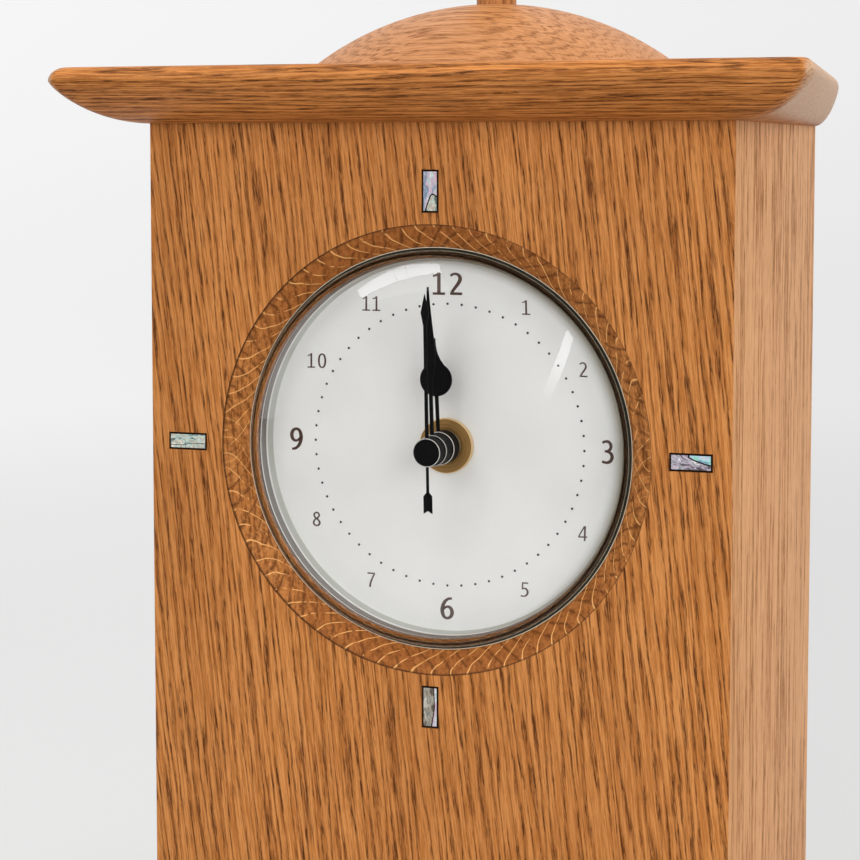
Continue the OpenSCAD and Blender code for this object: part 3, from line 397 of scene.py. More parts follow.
finishes = {
    "glue": plasticMaterial("darkGlue", paint(30, 16, 8), 0.7, specular=0.1),
    "bezel": metalMaterial("bezelChrome", paint(214, 216, 214), 0.16, 0.25, (500, 500, 500)),
    # painted highlight: a cream band that stands in for the bright glint on the chrome bezel's rounded front
    "bezelPaintedHighlight": metalMaterial("bezelPaintedHighlight", paint(232, 218, 194), 0.3, 0.1, (500, 500, 500), 0.35),
    "bezelLip": plasticMaterial("bezelLip", paint(52, 44, 32), 0.5, 0.05),
    "gasket": plasticMaterial("blackRubber", paint(24, 24, 25), 0.75),
    # the reflector ring itself is pale; its darker wall band and grey slope are painted reflections, and the
    # light lines on its edges are painted highlights
    "ringDarkReflection": plasticMaterial("ringWallPaintedReflection", paint(114, 107, 101), 0.5, 0.1),
    "ringEdgeHighlight": plasticMaterial("ringPaintedEdgeHighlight", paint(232, 230, 226), 0.4, 0.1),
    "ringGreyReflection": plasticMaterial("ringGreyReflection", paint(190, 192, 185), 0.5, 0.1),
    "ringPale": plasticMaterial("ringPale", paint(222, 225, 217), 0.5, 0.1),
    "dial": plasticMaterial("dialWhite", paint(247, 247, 245), 0.5, 0.05, 3200),
    "ink": plasticMaterial("brownInk", paint(86, 60, 48), 0.6, 0.05),
    "dots": plasticMaterial("darkInk", paint(48, 42, 40), 0.6, 0.05),
    "pan": metalMaterial("panSteel", paint(170, 173, 176), 0.36, 0.7, (260, 260, 260)),
    "nut": turnedMaterial("nutBrass", paint(200, 152, 84), 0.42, 0.22, metal=0.45),
    "bushing": turnedMaterial("bushingBrass", paint(240, 212, 164), 0.35, 0.2, metal=0.45),
    # painted highlight for the bright line along the nut's edge
    "brassPaintedHighlight": metalMaterial("brassPaintedHighlight", paint(238, 204, 150), 0.35, 0.1, metal=0.4),
    # painted highlight on the front edges of the hands' collars
    "hubPaintedHighlight": metalMaterial("hubPaintedHighlight", paint(246, 244, 238), 0.35, 0.0, metal=0.2),
    "hinge": metalMaterial("hingeBrass", paint(206, 164, 88), 0.3, 0.6, (700, 700, 60)),
    "brassScrew": metalMaterial("screwBrass", paint(200, 158, 84), 0.34, 0.5),
    "hands": plasticMaterial("handBlack", paint(8, 8, 9), 0.5, 0.08, 1800, specular=0.06),
    "steel": metalMaterial("brightSteel", paint(190, 192, 195), 0.32, 0.7, (90, 900, 900)),
    "screwSteel": metalMaterial("screwSteel", paint(176, 178, 182), 0.3, 0.5),
    "catch": plasticMaterial("catchWhite", paint(226, 220, 206), 0.5),
    "case": plasticMaterial("caseBlack", paint(40, 40, 43), 0.55, 0.3),
    "cover": plasticMaterial("coverGrey", paint(56, 57, 61), 0.55, 0.35),
    "gear": metalMaterial("gearBrass", paint(204, 168, 100), 0.32, 0.5, (400, 400, 400)),
    "gearWhite": plasticMaterial("gearNylon", paint(232, 230, 220), 0.4),
    "magnet": metalMaterial("rotorMagnet", paint(96, 97, 102), 0.45, 0.8),
    "copper": metalMaterial("copperWire", paint(190, 104, 56), 0.3, 0.4, (1400, 1400, 1400)),
    "board": plasticMaterial("boardGreen", paint(34, 92, 56), 0.35, 0.12, 900),
    "chip": plasticMaterial("chipBlack", paint(34, 34, 37), 0.5, 0.2),
    "ferrite": plasticMaterial("ferriteGrey", paint(56, 56, 60), 0.45, 0.4, 900),
    "buttonWhite": plasticMaterial("buttonWhite", paint(224, 224, 221), 0.35),
    "buttonBlue": plasticMaterial("buttonBlue", paint(56, 98, 160), 0.35),
    "cell": plasticMaterial("cellWrap", paint(38, 92, 116), 0.3, 0.05, 300, coat=0.4),
    "glass": glassMaterial("clearGlass"),
}
shells = {
    "pale": shellMaterial("shellPale", shellLook("pale", 0, (0.011, 0, 0))),
    "paleChip": shellMaterial("shellPaleChip", shellLook("green", 4, (0.05, 0, 0.013), (800, 800, 220))),
    "green": shellMaterial("shellGreen", shellLook("green", 84, (0, 0.02, 0.02))),
    "mauve": shellMaterial("shellMauve", shellLook("mauve", 70, (0.03, 0, 0.01))),
    "mint": shellMaterial("shellMint", shellLook("mint", 62, (0.01, 0.02, 0))),
    "umber": shellMaterial("shellUmber", shellLook("umber", 3, (0, 0, 0.02))),
}
print("materials made:", len(bpy.data.materials))


# Mesh helpers

def asMesh(work, name):
    mesh = bpy.data.meshes.new(name)
    work.to_mesh(mesh)
    work.free()
    return mesh


def addObject(name, data):
    made = bpy.data.objects.new(name, data)
    bpy.context.scene.collection.objects.link(made)
    return made


def makePiece(name, meshMaker, materials, sharp=35):
    # meshMaker fills a bmesh at the piece's place; edges flatter than the sharp angle are shaded smooth
    work = bmesh.new()
    meshMaker(work)
    return finishPiece(name, asMesh(work, name), materials, sharp)


def finishPiece(name, mesh, materials, sharp=35):
    # clearing an empty list would put every face back on the first material
    if len(mesh.materials):
        mesh.materials.clear()
    for material in materials:
        mesh.materials.append(material)
    mesh.shade_smooth()
    mesh.set_sharp_from_angle(angle=math.radians(sharp))
    return addObject(name, mesh)


def camelName(node):
    first, *rest = node.split("_")
    return first + "".join(word.capitalize() for word in rest)


def addBevel(piece, width):
    # every edge that turns by more than 40 degrees is eased
    bevel = piece.modifiers.new("edges", "BEVEL")
    bevel.width = width * mm
    bevel.segments = 2
    bevel.limit_method = "ANGLE"
    bevel.angle_limit = math.radians(40)
    bevel.harden_normals = True
    bevel.use_clamp_overlap = True


def carry(piece, node):
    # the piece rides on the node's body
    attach(piece, frame["nodes"][node]["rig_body"])
    return piece


def settle(piece, node):
    # the piece stands for the CAD node
    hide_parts(node)
    return carry(piece, node)


def softened(node, name, material, width):
    # a copy of a CAD node with its triangles merged and its edges eased
    mesh = frame["nodes"][node].data.copy()
    work = bmesh.new()
    work.from_mesh(mesh)
    bmesh.ops.remove_doubles(work, verts=work.verts, dist=2e-6)
    bmesh.ops.dissolve_limit(work, angle_limit=math.radians(0.6), verts=work.verts, edges=work.edges)
    work.to_mesh(mesh)
    work.free()
    piece = finishPiece(name, mesh, [material], 32)
    if width:
        addBevel(piece, width)
    return settle(piece, node)


def spin(work, profile, place, segments, slots=None):
    # profile: (radius, along) in mm; place turns (x, y, along) into a point, slots gives each band's material
    rings = []
    for radius, along in profile:
        turns = [2 * math.pi * i / segments for i in range(segments if radius > 1e-6 else 1)]
        circle = [place(radius * math.cos(a), radius * math.sin(a), along) for a in turns]
        rings.append([work.verts.new(point) for point in circle])
    pairs = list(zip(rings, rings[1:]))
    if len(rings[0]) > 1 and len(rings[-1]) > 1:
        pairs.append((rings[-1], rings[0]))
    for k, (a, b) in enumerate(pairs):
        for i in range(segments):
            j = (i + 1) % segments
            if len(a) == 1:
                face = work.faces.new((a[0], b[i], b[j]))
            elif len(b) == 1:
                face = work.faces.new((a[i], a[j], b[0]))
            else:
                face = work.faces.new((a[i], a[j], b[j], b[i]))
            face.material_index = slots[k] if slots else 0
    bmesh.ops.recalc_face_normals(work, faces=work.faces)


def lathe(work, profile, segments, slots=None):
    # round the dial's axis, along is the depth
    spin(work, profile, dialPoint, segments, slots)


def latheUp(work, profile, segments=192):
    # round the upright axis, along is the height
    spin(work, profile, lambda x, y, z: (x * mm, y * mm, z * mm), segments)


# Case

# the window's chamfer and the seat behind it, the rounded corner, and the pockets of the inlays, in mm
frontBoard = dict(chamferR=55.5, chamferStep=0.5, stepLean=0.03, seatR=49.9, chamferDepth=4.3,
                  seatEase=0.15, seatRound=0.1, thick=16.0, corner=0.55, segments=240, pocketGrow=0.26,
                  pocketDepth=0.9)
mitre = frontBoard["corner"] * 0.3  # how far the joint of front and side lies in from the corner
# size of an inlay, and how far those at 12 and 6 and those at 3 and 9 lie from the dial's centre
inlays = dict(length=10, width=3.9, upright=63.5, lying=65)


def inlayPlace(turn):
    # centre and half sizes of an inlay, x and y on the dial in mm
    reach = inlays["upright"] if turn % 180 == 0 else inlays["lying"]
    x, y = reach * math.sin(math.radians(turn)), reach * math.cos(math.radians(turn))
    half = (inlays["width"] / 2, inlays["length"] / 2)
    return (x, y), half if turn % 180 == 0 else half[::-1]


def reachTo(dx, dy, left, right, low, high):
    # how far a ray from the dial's centre goes to the board's edge
    sideways = (right if dx > 0 else left) / dx if abs(dx) > 1e-9 else 1e9
    upright = (high if dy > 0 else low) / dy if abs(dy) > 1e-9 else 1e9
    return min(sideways, upright)


def makeFrontBoard(work):
    size = frontBoard
    thick = size["thick"]
    half = bodyHalf / mm
    low, high = (frontLow.z - dialZ) / mm, (frontHigh.z - dialZ) / mm
    edge = half - size["corner"]
    setBack = mitre * mm
    # the face runs from the chamfer's rim out to the board's edges, and each corner gets a spoke of its own
    angles = [2 * math.pi * i / size["segments"] for i in range(size["segments"])]
    for x, y in ((edge, high), (-edge, high), (-edge, low), (edge, low)):
        spoke = math.atan2(y, x) % (2 * math.pi)
        angles[min(range(len(angles)), key=lambda i: abs(angles[i] - spoke))] = spoke
    rimProfile = [(size["chamferR"], 0), (size["chamferR"] - size["stepLean"], size["chamferStep"]),
                  (size["seatR"] + size["seatEase"], size["chamferDepth"] - size["seatRound"]),
                  (size["seatR"], size["chamferDepth"] + size["seatRound"]), (size["seatR"], thick)]
    outer, rim = [], []
    for a in angles:
        dx, dy = math.cos(a), math.sin(a)
        reach = reachTo(dx, dy, -edge, edge, low, high)
        outer.append(work.verts.new(dialPoint(dx * reach, dy * reach, 0)))
        rim.append([work.verts.new(dialPoint(dx * r, dy * r, depth)) for r, depth in rimProfile])
    n = len(angles)
    for i in range(n):
        j = (i + 1) % n
        work.faces.new((outer[i], outer[j], rim[j][0], rim[i][0]))
        for k in range(4):
            face = work.faces.new((rim[i][k], rim[j][k], rim[j][k + 1], rim[i][k + 1]))
            face.material_index = 1 if k < 3 else 0
    # the back face, then the left and right ends, bevelled in front and mitred behind
    inner = half - thick
    back = []
    for a in angles:
        dx, dy = math.cos(a), math.sin(a)
        reach = reachTo(dx, dy, -inner, inner, low, high)
        back.append(work.verts.new(dialPoint(dx * reach, dy * reach, thick)))
    for i in range(n):
        j = (i + 1) % n
        work.faces.new((back[j], back[i], rim[i][4], rim[j][4]))
    for side in (-1, 1):
        upright = [v for v in outer if abs(v.co.x - edge * side * mm) < 1e-7]
        upright.sort(key=lambda v: v.co.z)
        joint = [work.verts.new((side * (bodyHalf - setBack), frontY + setBack, v.co.z)) for v in upright]
        for a, b, p, q in zip(upright, upright[1:], joint, joint[1:]):
            work.faces.new((a, b, q, p) if side > 0 else (b, a, p, q))
        rear = [v for v in back if abs(v.co.x - side * inner * mm) < 1e-5]
        rear.sort(key=lambda v: v.co.z)
        work.faces.new(joint + [rear[-1], rear[0]])
    # the faces at the bottom and the top
    for z in (low, high):
        ends = [v for v in work.verts if abs(v.co.z - dialZ - z * mm) < 1e-7]
        frontRun = sorted((v for v in ends if abs(v.co.y - frontY) < 1e-7), key=lambda v: v.co.x)
        joint = [v for v in ends if abs(v.co.y - frontY - setBack) < 1e-7]
        leftJoint = [v for v in joint if v.co.x < 0]
        rightJoint = [v for v in joint if v.co.x > 0]
        backRun = sorted((v for v in ends if v.co.y > frontY + thick / 2 * mm), key=lambda v: -v.co.x)
        work.faces.new(leftJoint + frontRun + rightJoint + backRun)
    bmesh.ops.remove_doubles(work, verts=work.verts, dist=1e-7)
    bmesh.ops.recalc_face_normals(work, faces=work.faces)


def boxMesh(name, low, high):
    work = bmesh.new()
    bmesh.ops.create_cube(work, size=1)
    for v in work.verts:
        v.co = Vector([(a + b) / 2 + k * (b - a) for a, b, k in zip(low, high, v.co)])
    return addObject(name, asMesh(work, name))


def cutPockets(piece):
    # the four sockets of the inlays are cut out of the finished board
    grow, deep = frontBoard["pocketGrow"], frontBoard["pocketDepth"]
    for turn in (0, 90, 180, 270):
        (x, y), (halfX, halfY) = inlayPlace(turn)
        halfX, halfY = halfX + grow, halfY + grow
        low, high = dialPoint(x - halfX, y - halfY, -1), dialPoint(x + halfX, y + halfY, deep)
        cut = piece.modifiers.new("socket", "BOOLEAN")
        cut.operation = "DIFFERENCE"
        cut.solver = "EXACT"
        cut.object = boxMesh("socketCutter", low, high)
    made = bpy.data.meshes.new_from_object(piece.evaluated_get(bpy.context.evaluated_depsgraph_get()))
    piece.modifiers.clear()
    piece.data = made
    for cutter in [other for other in bpy.data.objects if other.name.startswith("socketCutter")]:
        bpy.data.objects.remove(cutter)


board = makePiece("frontBoard", makeFrontBoard, [oak["front"], oak["chamfer"]], 25)
cutPockets(board)
print("front board faces:", len(board.data.polygons))
settle(board, "front_board")

# how the side boards' rear edges are eased, in mm
sideBoard = dict(rearEase=0.8, rearRound=0.24, innerEase=0.3)


def makeSideBoard(side):
    ease, curve, inside = (sideBoard[key] * mm for key in ("rearEase", "rearRound", "innerEase"))

    def build(work):
        thick = frontBoard["thick"] * mm
        # in from the outer face, and the place from front to back
        corner, setBack = frontBoard["corner"] * mm, mitre * mm
        outline = [(setBack, frontY + setBack), (0, frontY + corner), (0, backY - ease),
                   (curve, backY - curve), (ease, backY), (thick - inside, backY), (thick, backY - inside),
                   (thick, frontY + thick)]
        low, high = [[work.verts.new((side * (bodyHalf - a), b, z)) for a, b in outline]
                     for z in (frontLow.z, frontHigh.z)]
        for i in range(len(outline)):
            j = (i + 1) % len(outline)
            work.faces.new((low[i], low[j], high[j], high[i]))
        work.faces.new(low)
        work.faces.new(high)
        bmesh.ops.recalc_face_normals(work, faces=work.faces)
    return build


for side, label in ((-1, "left"), (1, "right")):
    settle(makePiece(label + "Side", makeSideBoard(side), [oak["side"]], 25), label + "_side")


def plateLoops(work, outsides, corner, segments=6):
    # outsides: (front, side, rear side, z) in mm for each level; every plan corner is rounded
    loops = []
    half = bodyHalf / mm
    for front, side, rear, z in outsides:
        ahead, behind = frontY / mm - front, backY / mm
        points = [(-half - side, ahead), (half + side, ahead), (half + rear, behind), (-half - rear, behind)]
        loop = []
        for k, p in enumerate(points):
            before, after = Vector(points[k - 1]), Vector(points[(k + 1) % 4])
            p = Vector(p)
            u, v = (before - p).normalized(), (after - p).normalized()
            opening = u.angle(v)
            reach = corner / math.tan(opening / 2)
            middle = p + (u + v).normalized() * (corner / math.sin(opening / 2))
            a = p + u * reach - middle
            turn = math.pi - opening
            for i in range(segments + 1):
                loop.append(middle + Matrix.Rotation(turn * i / segments, 2) @ a)
        loops.append([work.verts.new((q.x * mm, q.y * mm, z * mm)) for q in loop])
    n = len(loops[0])
    for a, b in zip(loops, loops[1:]):
        for i in range(n):
            j = (i + 1) % n
            work.faces.new((a[i], a[j], b[j], b[i]))
    work.faces.new(loops[0])
    work.faces.new(loops[-1])
    bmesh.ops.recalc_face_normals(work, faces=work.faces)


# how far the plate stands out on each side, and its section: a bowed slope below a rounded edge, in mm
topPlate = dict(front=17, side=21, rear=6.2, thick=13.8, round=3.4, bow=0.75, slopeEnd=0.985, corner=3.2,
                slopeSteps=26, roundSteps=10)


def makeTopPlate(work):
    size = topPlate
    z = plateLow.z / mm
    span = size["thick"] - size["round"]
    levels = []
    for i in range(size["slopeSteps"] + 1):
        s = 1 - i / size["slopeSteps"] * size["slopeEnd"]
        out = 1 - s ** (1 / size["bow"])
        up = (1 - math.sin(math.radians(90 * s))) * span
        levels.append((size["front"] * out, size["side"] * out, size["rear"] * out, z + up))
    for i in range(size["roundSteps"] + 1):
        a = math.radians(90 * i / size["roundSteps"])
        back = size["round"] * (1 - math.cos(a))
        levels.append((size["front"] - back, size["side"] - back, size["rear"] - back,
                       z + span + size["round"] * math.sin(a)))
    plateLoops(work, levels, size["corner"])


settle(makePiece("topPlate", makeTopPlate, [oak["plate"]], 50), "top_plate")

# how far the base stands out all round, its rounded upper edge and its eased lower one, in mm
baseBoard = dict(out=9, round=5, steps=10, corner=1.6, foot=0.6)


def makeBaseBoard(work):
    size = baseBoard
    out, foot = size["out"], size["foot"]
    levels = [(out - foot,) * 3 + (0,), (out,) * 3 + (foot,)]
    for i in range(size["steps"] + 1):
        a = math.radians(90 * i / size["steps"])
        rounded = out - size["round"] * (1 - math.cos(a))
        levels.append((rounded,) * 3 + (baseHigh.z / mm - size["round"] * (1 - math.sin(a)),))
    plateLoops(work, levels, size["corner"])


settle(makePiece("baseBoard", makeBaseBoard, [oak["plate"]], 50), "base_board")

# a low cap of a sphere over a small foot, in mm
dome = dict(radius=49.5, height=17.6, steps=48, foot=0.5, footIn=0.9, edgeIn=0.12, edge=0.05, firstStep=0.2)


def makeDome(work):
    size = dome
    radius, height, foot, steps = size["radius"], size["height"], size["foot"], size["steps"]
    z = domeLow.z / mm
    ball = (radius ** 2 + height ** 2) / (2 * height)
    widest = math.asin(radius / ball)
    profile = [(0, z), (radius - size["footIn"], z), (radius - size["footIn"], z + foot),
               (radius - size["edgeIn"], z + foot)]
    for i in range(1, steps):
        a = widest * (1 - (i + size["firstStep"]) / (steps + size["firstStep"]))
        profile.append((ball * math.sin(a), z + max(foot + size["edge"], ball * math.cos(a) - ball + height)))
    profile.append((0, z + height))
    latheUp(work, profile)


settle(makePiece("domeCap", makeDome, [oak["dome"]], 40), "dome")

# a ball on a straight neck, in mm
finial = dict(neckR=5.2, ballR=11, neckH=9, sunk=0.4, steps=40)


def makeFinial(work):
    size = finial
    neck, ball, steps = size["neckR"], size["ballR"], size["steps"]
    z = domeHigh.z / mm
    middle = z + size["neckH"] + math.sqrt(ball ** 2 - neck ** 2)
    start = math.asin(neck / ball)
    profile = [(0, z - size["sunk"]), (neck, z - size["sunk"]), (neck, z + size["neckH"])]
    for i in range(1, steps):
        a = start + (math.pi - start) * i / steps
        profile.append((ball * math.sin(a), middle - ball * math.cos(a)))
    latheUp(work, profile + [(0, middle + ball)], 96)


settle(makePiece("finialBall", makeFinial, [oak["neck"]], 40), "finial")
softened("joint_dowels", "jointDowels", oak["beech"], 0.3)
print("case made")

# Inlays

# the dark joint: its width round the chips, and the block of glue that shows there, in mm
glue = dict(line=0.23, grow=0.12, front=0.04, back=0.88, ease=0.12)
chipThick = 0.8


def makeGlueBlock(work, turn):
    (x, y), (hx, hy) = inlayPlace(turn)
    hx, hy = hx + glue["grow"], hy + glue["grow"]
    loops = []
    for into, depth in ((0, glue["back"]), (0, glue["front"] + glue["ease"]), (glue["ease"], glue["front"])):
        w, h = hx - into, hy - into
        corners = ((-w, -h), (w, -h), (w, h), (-w, h))
        loops.append([work.verts.new(dialPoint(x + a, y + b, depth)) for a, b in corners])
    for first, second in zip(loops, loops[1:]):
        for i in range(4):
            j = (i + 1) % 4
            work.faces.new((first[i], first[j], second[j], second[i]))
    work.faces.new(loops[0])
    work.faces.new(loops[-1])
    bmesh.ops.recalc_face_normals(work, faces=work.faces)


# each inlay is cut from two chips of shell with a dark joint between them; outlines in mm about its centre
inlayChips = {
    0: [("pale", [(-1.95, 5), (-1.95, -5), (-1.6, -5), (-0.2, -1.35), (0.35, -0.72), (0.95, -0.6),
                  (1.95, -1.2), (1.95, 5)]),
        ("paleChip", [(-1.25, -5), (0.05, -1.55), (0.45, -1.05), (0.95, -0.95), (1.95, -1.55), (1.95, -5)])],
    90: [("mauve", [(-5, 1.95), (-5, -1.95), (5, -1.95), (5, -0.75), (3.3, -0.4), (0.6, 0.55), (-0.75, 1.3),
                    (-0.75, 1.95)]),
         ("mint", [(-0.4, 1.95), (-0.4, 1.5), (0.75, 0.85), (3.4, -0.08), (5, -0.42), (5, 1.95)])],
    180: [("umber", [(-1.95, 5), (-1.95, -5), (0.3, -5), (1.2, 0), (0.9, 5)]),
          ("pale", [(1.15, 5), (1.45, 0), (0.6, -5), (1.95, -5), (1.95, 5)])],
    270: [("green", [(-5, 1.95), (-5, -1.1), (-1.2, -1.1), (0.4, -0.55), (5, -0.55), (5, 1.95)]),
          ("paleChip", [(-5, -1.25), (-1.2, -1.25), (0.4, -0.7), (5, -0.7), (5, -1.95), (-5, -1.95)])],
}


def makeChips(turn, chips):
    def build(work):
        (x, y), (halfX, halfY) = inlayPlace(turn)
        inX, inY = 1 - glue["line"] / halfX, 1 - glue["line"] / halfY
        for k, (_, outline) in enumerate(chips):
            top, low = [[work.verts.new(dialPoint(x + a * inX, y + b * inY, depth)) for a, b in outline]
                        for depth in (0, chipThick)]
            faces = [work.faces.new(top), work.faces.new(low)]
            for i in range(len(outline)):
                j = (i + 1) % len(outline)
                faces.append(work.faces.new((top[i], top[j], low[j], low[i])))
            for face in faces:
                face.material_index = k
        bmesh.ops.recalc_face_normals(work, faces=work.faces)
    return build


for hour, turn in ((12, 0), (3, 90), (6, 180), (9, 270)):
    chips = inlayChips[turn]
    piece = makePiece("shellInlay%d" % hour, makeChips(turn, chips), [shells[name] for name, _ in chips])
    addBevel(piece, 0.07)
    settle(piece, "inlay_%d" % hour)
glueBlocks = makePiece("inlayGlue", lambda work: [makeGlueBlock(work, turn) for turn in (0, 90, 180, 270)],
                       [finishes["glue"]])
carry(glueBlocks, "front_board")
print("inlays set")

# Dial and glass

# the domed glass in mm: a flat foot round a bowed rise; depth is where the foot's back lies, behind the front
glass = dict(rim=49.2, foot=0.3, footThick=0.5, depth=5.3, rise=11.8, thick=1.8, bow=2.3, rings=46,
             segments=192, lipGap=0.02)


def geometryTree(name, inputs):
    # a node tree with named inputs: (name, socket type, value)
    tree = bpy.data.node_groups.new(name, "GeometryNodeTree")
    tree.interface.new_socket("Geometry", in_out="INPUT", socket_type="NodeSocketGeometry")
    for label, kind, value in inputs:
        socket = tree.interface.new_socket(label, in_out="INPUT", socket_type="NodeSocket" + kind)
        if kind != "Material":
            socket.default_value = value
    tree.interface.new_socket("Geometry", in_out="OUTPUT", socket_type="NodeSocketGeometry")
    start = tree.nodes.new("NodeGroupInput")
    end = tree.nodes.new("NodeGroupOutput")
    return tree, start, end


def closeTree(tree, start, end, shape):
    real = addNode(tree, "GeometryNodeRealizeInstances", {0: shape})
    sockets = {"Geometry": real.outputs[0], "Material": start.outputs["Material"]}
    painted = addNode(tree, "GeometryNodeSetMaterial", sockets)
    tree.links.new(painted.outputs[0], end.inputs[0])


def bakeTree(name, tree, values):
    # runs the tree and keeps its result as a plain mesh
    holder = addObject(name, bpy.data.meshes.new(name))
    modifier = holder.modifiers.new("pattern", "NODES")
    modifier.node_group = tree
    for item in tree.interface.items_tree:
        if item.in_out == "INPUT" and item.name in values:
            modifier[item.identifier] = values[item.name]
    holder.update_tag()
    made = bpy.data.meshes.new_from_object(holder.evaluated_get(bpy.context.evaluated_depsgraph_get()))
    holder.modifiers.clear()
    bpy.data.objects.remove(holder)
    made.name = name
    return made


def domedGlassTree():
    # a sheet of rings and spokes is laid over the curve rise * (1 - (r / rim) ^ bow) ^ (1 / bow)
    tree, start, end = geometryTree("domedGlass", [
        ("Rim Radius", "Float", 1.0), ("Rise", "Float", 1.0), ("Bow", "Float", 2.0), ("Rings", "Int", 8),
        ("Segments", "Int", 8), ("Material", "Material", None)])
    rings = calc(tree, "ADD", start.outputs["Rings"], 1)
    spokes = calc(tree, "ADD", start.outputs["Segments"], 1)
    sockets = {"Size X": 1.0, "Size Y": 1.0, "Vertices X": rings, "Vertices Y": spokes}
    grid = addNode(tree, "GeometryNodeMeshGrid", sockets)
    flat = xyz(tree, addNode(tree, "GeometryNodeInputPosition").outputs[0])
    along = calc(tree, "ADD", flat[0], 0.5)
    turn = calc(tree, "MULTIPLY", flat[1], 2 * math.pi)
    share = calc(tree, "SINE", calc(tree, "MULTIPLY", along, math.pi / 2))
    radius = calc(tree, "MULTIPLY", share, start.outputs["Rim Radius"])
    under = calc(tree, "SUBTRACT", 1.0, calc(tree, "POWER", share, start.outputs["Bow"]))
    bowed = calc(tree, "POWER", calc(tree, "MAXIMUM", under, 0.0),
                 calc(tree, "DIVIDE", 1.0, start.outputs["Bow"]))
    height = calc(tree, "MULTIPLY", start.outputs["Rise"], bowed)
    place = addNode(tree, "ShaderNodeCombineXYZ", {
        "X": calc(tree, "MULTIPLY", radius, calc(tree, "COSINE", turn)),
        "Y": calc(tree, "MULTIPLY", height, -1),
        "Z": calc(tree, "MULTIPLY", radius, calc(tree, "SINE", turn))})
    moved = addNode(tree, "GeometryNodeSetPosition",
                    {"Geometry": grid.outputs[0], "Position": place.outputs[0]})
    merged = addNode(tree, "GeometryNodeMergeByDistance", {"Geometry": moved.outputs[0], "Distance": 1e-6})
    closeTree(tree, start, end, merged.outputs[0])
    return tree


def turnOf(v):
    return math.atan2(v.co.z - dialZ, v.co.x)


def rimLoop(work, radius, depth):
    # the vertices of one ring about the dial's axis, in order
    level = frontY + depth * mm
    ring = [v for v in work.verts if abs(v.co.y - level) < 1e-6]
    return sorted((v for v in ring if abs(math.hypot(v.co.x, v.co.z - dialZ) - radius * mm) < 1e-5),
                  key=turnOf)


def makeGlass():
    size = glass
    tree = domedGlassTree()
    footFront = size["depth"] - size["footThick"]
    innerRim, outerRim = size["rim"] - size["thick"], size["rim"]
    outerRise = size["rise"] + size["thick"] - size["footThick"]
    sheets = []
    for rim, rise, depth in ((innerRim, size["rise"], size["depth"]), (outerRim, outerRise, footFront)):
        mesh = bakeTree("glassSheet", tree, {
            "Rim Radius": rim * mm, "Rise": rise * mm, "Bow": size["bow"], "Rings": size["rings"],
            "Segments": size["segments"], "Material": finishes["glass"]})
        mesh.transform(Matrix.Translation(dialPoint(0, 0, depth)))
        sheets.append(mesh)
    work = bmesh.new()
    for mesh in sheets:
        work.from_mesh(mesh)
    bmesh.ops.remove_doubles(work, verts=work.verts, dist=1e-6)
    # the foot joins the two sheets
    inner, outer = rimLoop(work, innerRim, size["depth"]), rimLoop(work, outerRim, footFront)
    reach = outerRim + size["foot"]
    turns = [turnOf(v) for v in outer]
    foot = [[work.verts.new(dialPoint(math.cos(a) * reach, math.sin(a) * reach, depth)) for a in turns]
            for depth in (footFront, size["depth"])]
    n = len(outer)
    print("glass rim points:", len(inner), n)
    for a, b in ((outer, foot[0]), (foot[0], foot[1]), (foot[1], inner)):
        for i in range(n):
            j = (i + 1) % n
            work.faces.new((a[i], a[j], b[j], b[i]))
    bmesh.ops.recalc_face_normals(work, faces=work.faces)
    mesh = asMesh(work, "domedGlass")
    for sheet in sheets:
        bpy.data.meshes.remove(sheet)
    return finishPiece("domedGlass", mesh, [finishes["glass"]], 60)


settle(makeGlass(), "glass_dome")


def turned(name, profile, materials, node, segments=240, slots=None, sharp=30):
    # a piece that is turned round the dial's axis
    def build(work):
        lathe(work, profile, segments, slots)
    return settle(makePiece(name, build, [finishes[key] for key in materials], sharp), node)


# sections from here on are (radius, depth) in mm, and the list after one gives each band's material;
# the bezel's lip ends just in front of the glass's foot
lip = glass["depth"] - glass["footThick"] - glass["lipGap"]
bezelProfile = [(49.88, 8.3), (49.88, lip - 0.34), (49.83, lip - 0.43), (49.75, lip - 0.46),
                (49.64, lip - 0.46), (49.58, lip - 0.42), (49.52, lip - 0.3), (49.24, lip - 0.2),
                (49.22, lip - 0.16), (49.22, lip), (49.52, lip), (49.52, 8.3)]
# the bezel's rounded front takes the painted highlight band
bezelBands = [0, 0, 2, 2, 1, 1, 1, 1, 1, 1, 1, 0]
turned("bezelRing", bezelProfile, ["bezel", "bezelLip", "bezelPaintedHighlight"], "bezel", 240,
       bezelBands, 60)
softened("glass_gasket", "glassGasket", finishes["gasket"], 0)

# the bands paint reflections on the ring's wall and slope and highlights on its edges
ringProfile = [(48.88, 7.4), (48.58, 7.4), (48.44, 7.5), (48.38, 7.6), (48.3, 11.0), (48.26, 11.1),
               (48.1, 11.3), (47.95, 11.4), (47.2, 13.3), (47.2, dialFace - 0.01), (48.88, dialFace - 0.01)]
ringBands = [1, 1, 1, 0, 1, 1, 1, 2, 3, 3, 0]
turned("reflectorRing", ringProfile, ["ringDarkReflection", "ringEdgeHighlight", "ringGreyReflection", "ringPale"],
       "reflector_ring", 240, ringBands)

plateProfile = [(48.86, dialFace), (48.86, 14.48), (4.05, 14.48), (4.05, dialFace)]
turned("dialFace", plateProfile, ["dial"], "dial_plate")
panProfile = [(4.05, 15.28), (48.9, 15.28), (49.25, 15.2), (49.44, 15.0), (49.5, 14.7), (49.5, 5.62),
              (48.9, 5.62), (48.9, 14.5), (4.05, 14.5)]
turned("dialPan", panProfile, ["pan"], "dial_pan", 200)
softened("pan_clips", "panClips", finishes["steel"], 0.12)

